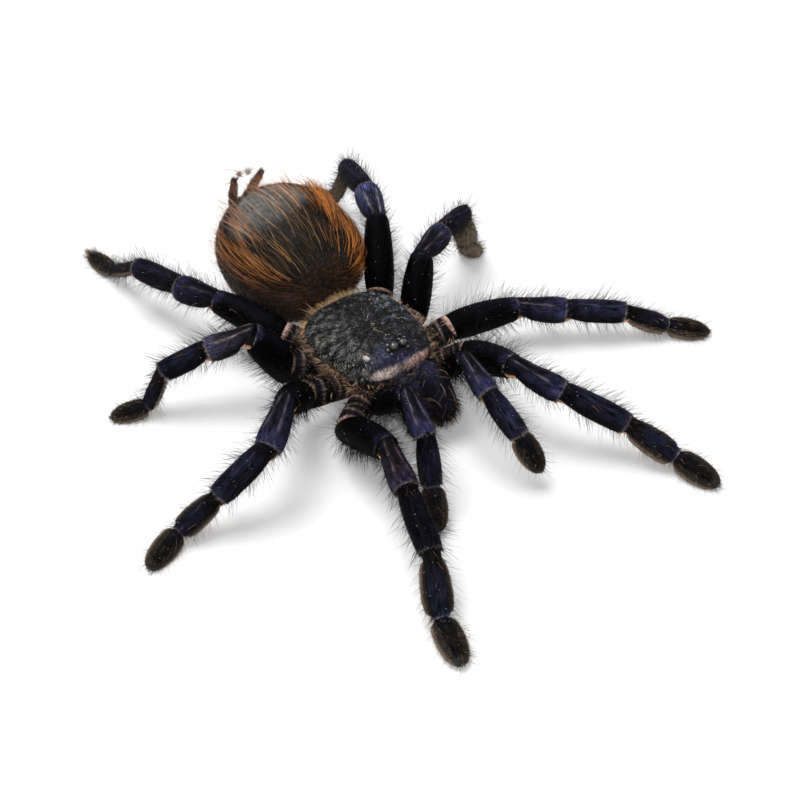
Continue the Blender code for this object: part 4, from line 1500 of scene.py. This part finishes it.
def fuzz_tone(share, turn):
    """Dark brown, black on the middle of the top."""
    return blend(FUZZ_BROWN, FUZZ_BLACK, spot(*sac_angles(share, turn), (120, 5), (30, 36)))


def flecked(share, turn):
    """The front of the sac, where orange flecks lie."""
    return ramp(142, 160, 180 * (1 - share)) + 0.08 + 0 * turn


def in_front(share, turn):
    """The front end of the sac."""
    return ramp(146, 158, 180 * (1 - share)) + 0 * turn


def bulge(out):
    """Extra height of the sac where it swells, for directions from its middle."""
    return sum(height * ramp(0.75, 1.0, out @ unit(np.array(way))) for way, height in SAC_BULGES)


def abdomen_point(rear, side, height):
    """Places over the sac, as a formula of the ellipsoid.

    They are given by degrees from the rear pole, degrees from the top toward the left side, and
    height over the surface along the line from the middle.
    """
    rear, side = np.radians(rear), np.radians(side)
    out = np.stack([np.sin(rear) * np.sin(side), np.cos(rear), np.sin(rear) * np.cos(side)], -1)
    return ABDOMEN_MIDDLE + out * (ABDOMEN_HALF_SIZE - SAC_INSET + (height + bulge(out))[..., None])


def abdomen_surface(rows=90, columns=120):
    """The sac: an ellipsoid with poles in front and behind, with two swellings and shallow folds."""
    polar = math.pi * (np.arange(rows) + 1) / (rows + 1)
    turn = turns(columns)
    ring = np.stack([np.sin(turn), 0 * turn, np.cos(turn)], -1)
    shape = -np.cos(polar)[:, None, None] * np.array([0, 1.0, 0]) + np.sin(polar)[:, None, None] * ring
    folds = sum(ripple(shape * FOLD_SCALE, size, seed) * depth for size, depth, seed in SAC_FOLDS)
    folds = folds + bulge(shape)
    points = ABDOMEN_MIDDLE + shape * (ABDOMEN_HALF_SIZE - SAC_INSET + folds[..., None])
    ends = ABDOMEN_MIDDLE + np.outer([-1, 1], [0, ABDOMEN_HALF_SIZE[1] - SAC_INSET, 0])
    return Surface(points, *ends, polar / math.pi, turn, abdomen_tone)


def strands(count, rng, places, length, radius, tone, height=0.45, levels=7, spread=(0.4, 1.3), rise=0.0,
            climb=0.0):
    """Long wavy hairs combed over the sac from the front to the rear.

    A strand starts at (rear, side) degrees and runs toward the rear pole, while its side angle
    sways by two sine waves and grows by climb degrees, at first fastest. It stands over the skin
    by height times a parabola plus rise times the square of the share. The waves of neighbours
    agree, because their phase follows the start. Its shade is the tone times the square of a
    random number of spread, made darker where a part of it would be over the brightest.
    """
    rear, side = places(count, rng)
    count = len(rear)
    share = np.arange(levels + 1) / levels
    reach = np.degrees(rng.uniform(*length, count) / ABDOMEN_HALF_SIZE[1])
    phase = (np.radians(side * 9) + rng.normal(0, 0.7, count))[:, None]
    wave = SLOW_WAVE[0] * np.sin(SLOW_WAVE[1] * math.pi * share + phase)
    wave = wave + FAST_WAVE[0] * np.sin(FAST_WAVE[1] * math.pi * share + 3 * phase)
    lean = rng.normal(0, 2.5, count)[:, None] * share
    rears = np.maximum(rear[:, None] - reach[:, None] * share, 4.0)
    sides = side[:, None] + (wave - wave[:, :1] + lean) * (0.35 + share) + climb * (1 - (1 - share) ** 2)
    over = height * rng.uniform(0.4, 1.4, count)[:, None] * 4 * share * (1.15 - share)
    over = over + rise * rng.uniform(0.3, 1.2, count)[:, None] * share**2
    lines = abdomen_point(rears, sides, over - 0.1)
    shade = tone(rear, side) * rng.uniform(*spread, (count, 1)) ** 2
    shade = shade / np.maximum(shade.max(axis=1, keepdims=True) / BRIGHTEST, 1)
    return threads(lines, radius * rng.uniform(0.7, 1.3, count), shade, shade * 1.2)


def combed_tone(rear, side):
    """Tan on the right side of the back, orange on the left side, brown low on the right."""
    tone = blend(TAN, ORANGE, ramp(0, 26, side))
    tone = blend(tone, ORANGE * 0.8, 0.7 * ramp(112, 90, rear))
    tone = blend(tone, RUST, 0.9 * ramp(-48, -66, side))
    return blend(tone, LOW_BROWN, ramp(-68, -92, side) * ramp(75, 105, rear))


def pale_tone(rear, side):
    """Pale tan on the right side of the back, orange on the left side."""
    return blend(PALE_TAN, ORANGE, ramp(0, 26, side) + 0 * rear)


def scattered(rear, side):
    """Starts spread evenly over a range of rear angles and one of side angles."""
    def places(count, rng):
        return rng.uniform(*rear, count), rng.uniform(*side, count)
    return places


def locks(rear, side):
    """Starts of locks, evenly over a range of rear angles and one of side angles."""
    def places(count, rng):
        first, second = rng.uniform(*rear, count // LOCK), rng.uniform(*side, count // LOCK)
        first = np.repeat(first, LOCK) + rng.normal(0, 5.0, LOCK * len(first))
        return first, np.repeat(second, LOCK) + rng.normal(0, 1.6, LOCK * len(second))
    return places


def tuft(count, rng):
    """Starts of the raised tuft, close together on the left of the back."""
    return rng.normal(111, 6, count), rng.normal(34, 5.0, count)


def sides_and_front(count, rng):
    """Starts low on both sides, and farther forward than the bare patch."""
    return rng.uniform(100, 160, count), rng.choice([-1, 1], count) * rng.uniform(60, 130, count)


def right_band(count, rng):
    """Starts on the right side, in a band that ends farther back the lower it gets."""
    side = rng.uniform(-88, -34, count)
    return rng.uniform(86, 152 - 0.70 * np.maximum(-50 - side, 0)), side


def abdomen():
    """The sac, its fuzz, its flecks, its combed strands and the raised tuft."""
    sac = abdomen_surface()
    piece("abdomen_sac", [sac.shell()], ABDOMEN_SKIN, "abdomen_fur", "abdomen")
    coats = Coats(SEEDS["abdomen"])
    coats.grow("fuzz", sac, 14000, (0.5, 1.1), 0.040, (15, 50), sway=0.5, bend=0.2,
               weight=furred, tone=fuzz_tone, tip=1.5, spread=(0.1, 2.4))
    coats.grow("fuzz", sac, 1100, (0.5, 1.4), 0.044, (15, 50), sway=1.0, bend=0.3, levels=2,
               weight=flecked, tone=plain(ORANGE * 0.5), tip=1.2, spread=(0.05, 1.2), curl=0.9)
    coats.grow("fuzz", sac, 700, (1.0, 2.6), 0.042, (30, 75), sway=0.8, levels=2,
               weight=in_front, tone=plain(FRONT_FUZZ), tip=1.3, spread=(0.1, 1.8), curl=0.8)
    piece("abdomen_fuzz", coats.grown["fuzz"], VELVET_HAIR, "abdomen_fur")
    rng = coats.rng
    long_hairs = [
        strands(460, rng, scattered((66, 152), (-92, 84)), (3.0, 8.0), 0.034, combed_tone,
                height=0.25, levels=5, spread=(0.05, 0.62)),
        strands(165, rng, right_band, (6.0, 12.0), 0.036, combed_tone,
                levels=9, spread=(0.0, 1.85), climb=7),
        strands(84, rng, locks((104, 152), (16, 60)), (6.0, 12.0), 0.040, combed_tone,
                levels=9, spread=(0.0, 1.8)),
        strands(54, rng, scattered((108, 149), (-34, 22)), (5.0, 9.0), 0.034, combed_tone,
                height=0.30, levels=9, spread=(0.1, 1.15)),
        strands(56, rng, scattered((84, 116), (-50, 26)), (8.0, 15.0), 0.036, pale_tone,
                height=0.35, levels=10, spread=(0.5, 1.4), rise=2.4),
        strands(420, rng, sides_and_front, (2.5, 5.5), 0.040, combed_tone,
                height=0.5, levels=5, spread=(0.30, 0.85)),
        strands(54, rng, scattered((140, 162), (50, 100)), (2.5, 5.0), 0.052, combed_tone,
                height=0.6, levels=5, spread=(0.5, 1.1)),
        strands(40, rng, tuft, (8.0, 11.0), 0.048, combed_tone,
                height=0.6, levels=9, spread=(0.30, 1.6), rise=2.4),
        strands(160, rng, scattered((40, 84), (-106, 50)), (2.5, 5.5), 0.030, pale_tone,
                height=0.4, levels=6, spread=(0.5, 1.1), rise=4.2),
    ]
    piece("abdomen_long_hairs", long_hairs, BRIGHT_HAIR, "abdomen_fur")


# ---------------------------------------------------------------- mouthparts

JAW_BLUE = np.array([0.055, 0.058, 0.105])
JAW_GOLD = np.array([0.42, 0.28, 0.16])
FANG_RED = np.array([0.05, 0.012, 0.006])
FANG_BLACK = np.array([0.006, 0.005, 0.005])


def chelicera_tone(share, turn):
    """Deep blue, pinkish at the root."""
    tone = blend(NIGHT, VIOLET, 0.5 * near_top(turn, 2.2, 0.5) + 0 * share)
    return blend(PINK * 0.5, tone, ramp(0.0, 0.14, share))


def jaw_hair_tone(share, turn):
    """Blue, greyer on the upper part."""
    tone = blend(NIGHT, RIM_BLUE, 0.42 + 0 * (share + turn))
    return blend(tone, JAW_BLUE, 0.6 * ramp(0.45, 0.15, share) * near_top(turn, 1.8, 0.8))


def fang_tone(share, turn):
    """Dark red at the root, black from a third of the way to the point."""
    return blend(FANG_RED, FANG_BLACK, ramp(0.0, 0.3, share) + 0 * turn)


def low_on_jaw(share, turn):
    """Hairs all round a chelicera, most of them on its lower half."""
    return 0.15 + ramp(0.55, 0.9, share)


def mouthparts():
    """Both chelicerae with blue fur and crossing gold hairs, and the fangs under them."""
    rng = np.random.default_rng(SEEDS["mouthparts"])
    for side_name, side in (("left", 1), ("right", -1)):
        mirror = np.array([side, 1, 1, 1])
        route = np.array(CHELICERA_ROUTE) * mirror + [0, 0, 0, FUR_LIFT]
        jaw = tube(route, chelicera_tone, rows=60, columns=56)
        name = f"chelicera_{side_name}"
        piece(f"{name}_jaw", [jaw.shell()], CHELICERA_FUR, "chelicera_fur", name)
        fur = coat(jaw, 5200, rng, (0.7, 1.4), 0.036, (6, 20), sway=0.16, bend=0.3,
                   tone=jaw_hair_tone, spread=(0.05, 2.6), mottle=(2.4, 0.3, 73))
        low = coat(jaw, 900, rng, (1.4, 2.6), 0.036, (25, 60), sway=0.4, bend=-0.1, levels=3,
                   weight=low_on_jaw, tone=plain(UMBER), tip=1.5)
        gold = coat(jaw, 34, rng, (2.5, 5.0), 0.034, (15, 55), sway=0.9, bend=0.6, levels=5,
                    weight=on_top, tone=plain(JAW_GOLD), tip=1.2, spread=(0.2, 1.1), curl=1.4)
        piece(f"{name}_fur", [fur, low], DARK_HAIR, "chelicera_fur")
        piece(f"{name}_gold_hairs", [gold], BRIGHT_HAIR, "chelicera_fur")
        fang = tube(np.array(FANG_ROUTE) * mirror, fang_tone, columns=24)
        piece(f"fang_{side_name}_horn", [fang.shell()], HORN, "fang_horn", f"fang_{side_name}")


# ---------------------------------------------------------------- spinnerets, silk and underside

SPINNERET_ORANGE = np.array([0.085, 0.030, 0.011])
SPINNERET_BROWN = np.array([0.012, 0.007, 0.005])
SPINNERET_TIP = np.array([0.010, 0.006, 0.005])
SPINNERET_HAIR = np.array([0.095, 0.034, 0.012])
SILK_BROWN = np.array([0.30, 0.20, 0.12])
FLUFF_ORANGE = np.array([0.42, 0.18, 0.06])
CURL_PEACH = np.array([0.80, 0.50, 0.33])
CURL_ORANGE = np.array([0.80, 0.40, 0.14])

# The silk thread: places along it, the number of its points and its radius, which points carry
# fluff, and the number and the radius of the hairs of the fluff.
SILK_LOOP = (
    (1.05, 48.25, 18.6),
    (-0.5, 48.8, 18.1),
    (0.0, 50.0, 19.6),
    (0.8, 50.2, 20.2),
    (2.0, 49.0, 20.0),
    (2.4, 48.3, 19.5),
    (3.3, 47.8, 19.8),
    (4.1, 47.5, 20.0),
    (5.7, 47.3, 19.9),
    (7.1, 47.3, 19.0),
)
SILK_POINTS, SILK_RADIUS = 55, 0.085
FLUFF_KNOTS = [30, 42]
FLUFF_HAIRS, FLUFF_RADIUS = 130, 0.046

WAIST_ROUTE = ((0.0, 6.7, 6.4, 1.3), (0.15, 10.5, 6.8, 1.2), (0.3, 14.3, 7.0, 1.3))
# Middle and half size, along, across and up, of the sternum and of the soft skin over it.
STERNUM = (np.array([0.0, -1.2, 5.3]), (7.4, 2.7, 1.3))
PLEURA = (np.array([0.0, -0.5, 8.0]), (11.2, 10.6, 2.6))
BODY_AXES = (np.array([0, 1.0, 0]), np.array([1.0, 0, 0]), np.array([0, 0, 1.0]))


def spinneret_tone(share, turn):
    """Orange brown with a darker line along it and a dark tip."""
    tone = blend(SPINNERET_ORANGE, SPINNERET_BROWN, 0.7 * ridge(0.0, 0.6, turn))
    return blend(tone, SPINNERET_TIP, ramp(0.80, 0.92, share))


def spinneret_form(share):
    """Narrower where a spinneret's three parts meet."""
    return 1 - 0.14 * (ridge(0.34, 0.04, share) + ridge(0.70, 0.04, share))


def at_waist(share, turn):
    """The sides of the soft skin under the shield's rim."""
    return ridge(1.35, 0.5, np.abs(turn)) + 0 * share


def spinnerets(coats):
    """The four spinnerets, each with its short hairs."""
    for name, route in SPINNERETS.items():
        organ = tube(route, spinneret_tone, rows=50, form=spinneret_form)
        piece(name + "_skin", [organ.shell()], SPINNERET_SKIN, "spinneret_fur", name)
        coats.grow(name, organ, 420, (0.5, 1.3), 0.034, (12, 40), sway=0.3, bend=0.1, levels=2,
                   tone=plain(SPINNERET_HAIR), tip=1.3, spread=(0.05, 2.2))
        piece(name + "_hairs", coats.grown[name], BRIGHT_HAIR, "spinneret_fur")


def silk():
    """A silk thread that loops from one long spinneret to the other, with fluff caught on it."""
    rng = np.random.default_rng(SEEDS["silk"])
    along = np.linspace(0, len(SILK_LOOP) - 1.001, SILK_POINTS)
    places = smooth_through(np.arange(len(SILK_LOOP)), SILK_LOOP, along)
    line = threads(places[None], SILK_RADIUS, SILK_BROWN[None], SILK_BROWN[None])
    knots = places[FLUFF_KNOTS][rng.integers(0, 2, FLUFF_HAIRS)]
    starts = knots + rng.normal(0, 0.26, (FLUFF_HAIRS, 3))
    ways = rng.normal(0, 0.45, (FLUFF_HAIRS, 2, 3))
    fluff = np.stack([starts, starts + ways[:, 0], starts + ways[:, 0] + ways[:, 1] * 0.7], axis=1)
    tones = FLUFF_ORANGE * rng.uniform(0.3, 1.3, (FLUFF_HAIRS, 1))
    shells = [line, threads(fluff, FLUFF_RADIUS, tones, tones)]
    piece("silk_and_fluff", shells, BRIGHT_HAIR, "spinneret_fur")


def underside(coats):
    """Waist, sternum with its fur, and the soft skin between the legs' bases with its curls."""
    waist = tube(WAIST_ROUTE, plain(PINK * 0.3))
    piece("pedicel_skin", [waist.shell()], JOINT_SKIN, "joint_skin", "pedicel")
    plate = ball(*STERNUM, BODY_AXES, plain(COXA_BROWN * 0.6), rows=30, columns=40)
    piece("sternum_plate", [plate.shell()], LEG_FUR, "leg_fur", "sternum")
    coats.grow("sternum", plate, 1500, (0.6, 1.3), 0.038, (15, 45), sway=0.4, bend=0.2,
               tone=plain(COXA_BROWN * 0.7), tip=1.3)
    piece("sternum_fur", coats.grown["sternum"], DARK_HAIR, "leg_fur")
    soft = ball(*PLEURA, BODY_AXES, plain(COXA_BROWN * 0.25), rows=36, columns=60)
    piece("pleura_skin", [soft.shell()], JOINT_SKIN, "joint_skin")
    coats.grow("curls", soft, 1500, (1.0, 2.4), 0.040, (15, 70), sway=0.9, bend=-0.1, levels=2,
               weight=at_waist, tone=plain(COXA_BROWN * 0.25), spread=(0.1, 1.8), curl=1.2)
    coats.grow("curls", soft, 900, (1.4, 3.2), 0.054, (20, 70), sway=0.8, bend=-0.1, levels=4,
               weight=at_waist, tone=plain(CURL_PEACH), clumps=90, gather=0.85,
               spread=(0.1, 1.6), mottle=(1.8, 0.02, 76), curl=1.2)
    coats.grow("curls", soft, 420, (1.2, 2.6), 0.044, (30, 80), sway=0.9, bend=-0.1, levels=4,
               weight=at_waist, tone=plain(CURL_ORANGE), spread=(0.2, 1.4), curl=1.6)
    piece("pleura_curls", coats.grown["curls"], BRIGHT_HAIR, "joint_skin")


# ---------------------------------------------------------------- camera, floor and light


def camera():
    """The photograph's camera: at its distance from the target, rolled, with its lens."""
    azimuth, elevation, roll = np.radians([CAMERA_AZIMUTH, CAMERA_ELEVATION, CAMERA_ROLL])
    level = math.cos(elevation)
    back = np.array([math.sin(azimuth) * level, -math.cos(azimuth) * level, math.sin(elevation)])
    place = np.array(CAMERA_TARGET) + back * CAMERA_DISTANCE
    right = unit(np.cross(-back, [0, 0, 1.0]))
    up = np.cross(right, -back)
    right, up = right * math.cos(roll) + up * math.sin(roll), up * math.cos(roll) - right * math.sin(roll)
    data = bpy.data.cameras.new("photo_camera")
    data.lens, data.sensor_width = CAMERA_LENS, 36.0
    data.clip_start, data.clip_end = 0.01, 10.0
    obj = bpy.data.objects.new("photo_camera", data)
    bpy.context.scene.collection.objects.link(obj)
    turned = np.eye(4)
    turned[:3, :3] = np.stack([right, up, back], axis=1)
    turned[:3, 3] = (place + SHIFT) * MM
    obj.matrix_world = Matrix(turned.tolist())
    bpy.context.scene.camera = obj


def stage():
    """A white floor under even light from all round, with a lamp high up behind and one in front."""
    corners = [(x * FLOOR_REACH, y * FLOOR_REACH, 0) for x, y in ((-1, -1), (1, -1), (1, 1), (-1, 1))]
    mesh = bpy.data.meshes.new("floor")
    mesh.from_pydata(corners, [], [(0, 1, 2, 3)])
    look = Look("floor_white", base_color=FLOOR_GREY, roughness=0.9, specular_ior_level=0.1)
    look.set("Emission Color", (1.0, 1.0, 1.0))
    look.set("Emission Strength", FLOOR_GLOW)
    mesh.materials.append(look.material)
    floor = bpy.data.objects.new("floor", mesh)
    bpy.context.scene.collection.objects.link(floor)
    world = bpy.data.worlds.new("studio")
    world.use_nodes = True
    backdrop = world.node_tree.nodes["Background"].inputs
    backdrop["Color"].default_value = (1.0, 1.0, 1.0, 1.0)
    backdrop["Strength"].default_value = SKY
    bpy.context.scene.world = world
    for name, place, side, power in LAMPS:
        data = bpy.data.lights.new(name, "AREA")
        data.size, data.energy = side, power
        lamp = bpy.data.objects.new(name, data)
        right, up, back = axes_facing(unit(np.array(place)))
        turned = Matrix(np.stack([right, up, back], axis=1).tolist()).to_quaternion()
        lamp.matrix_world = Matrix.LocRotScale(place, turned, None)
        bpy.context.scene.collection.objects.link(lamp)
    bpy.context.scene.view_settings.view_transform = "Standard"


def axes_facing(back):
    """Right, up and back axes of a lamp that shines against back."""
    right = unit(np.cross([0.0, 1.0, 0.01], back))
    return right, np.cross(back, right), back


camera()
stage()
carapace()
abdomen()
mouthparts()
for seed, limb_name in enumerate(POSTURES, start=SEEDS["limbs"]):
    limb(limb_name, seed)
rear_coats = Coats(SEEDS["rear"])
spinnerets(rear_coats)
silk()
underside(rear_coats)
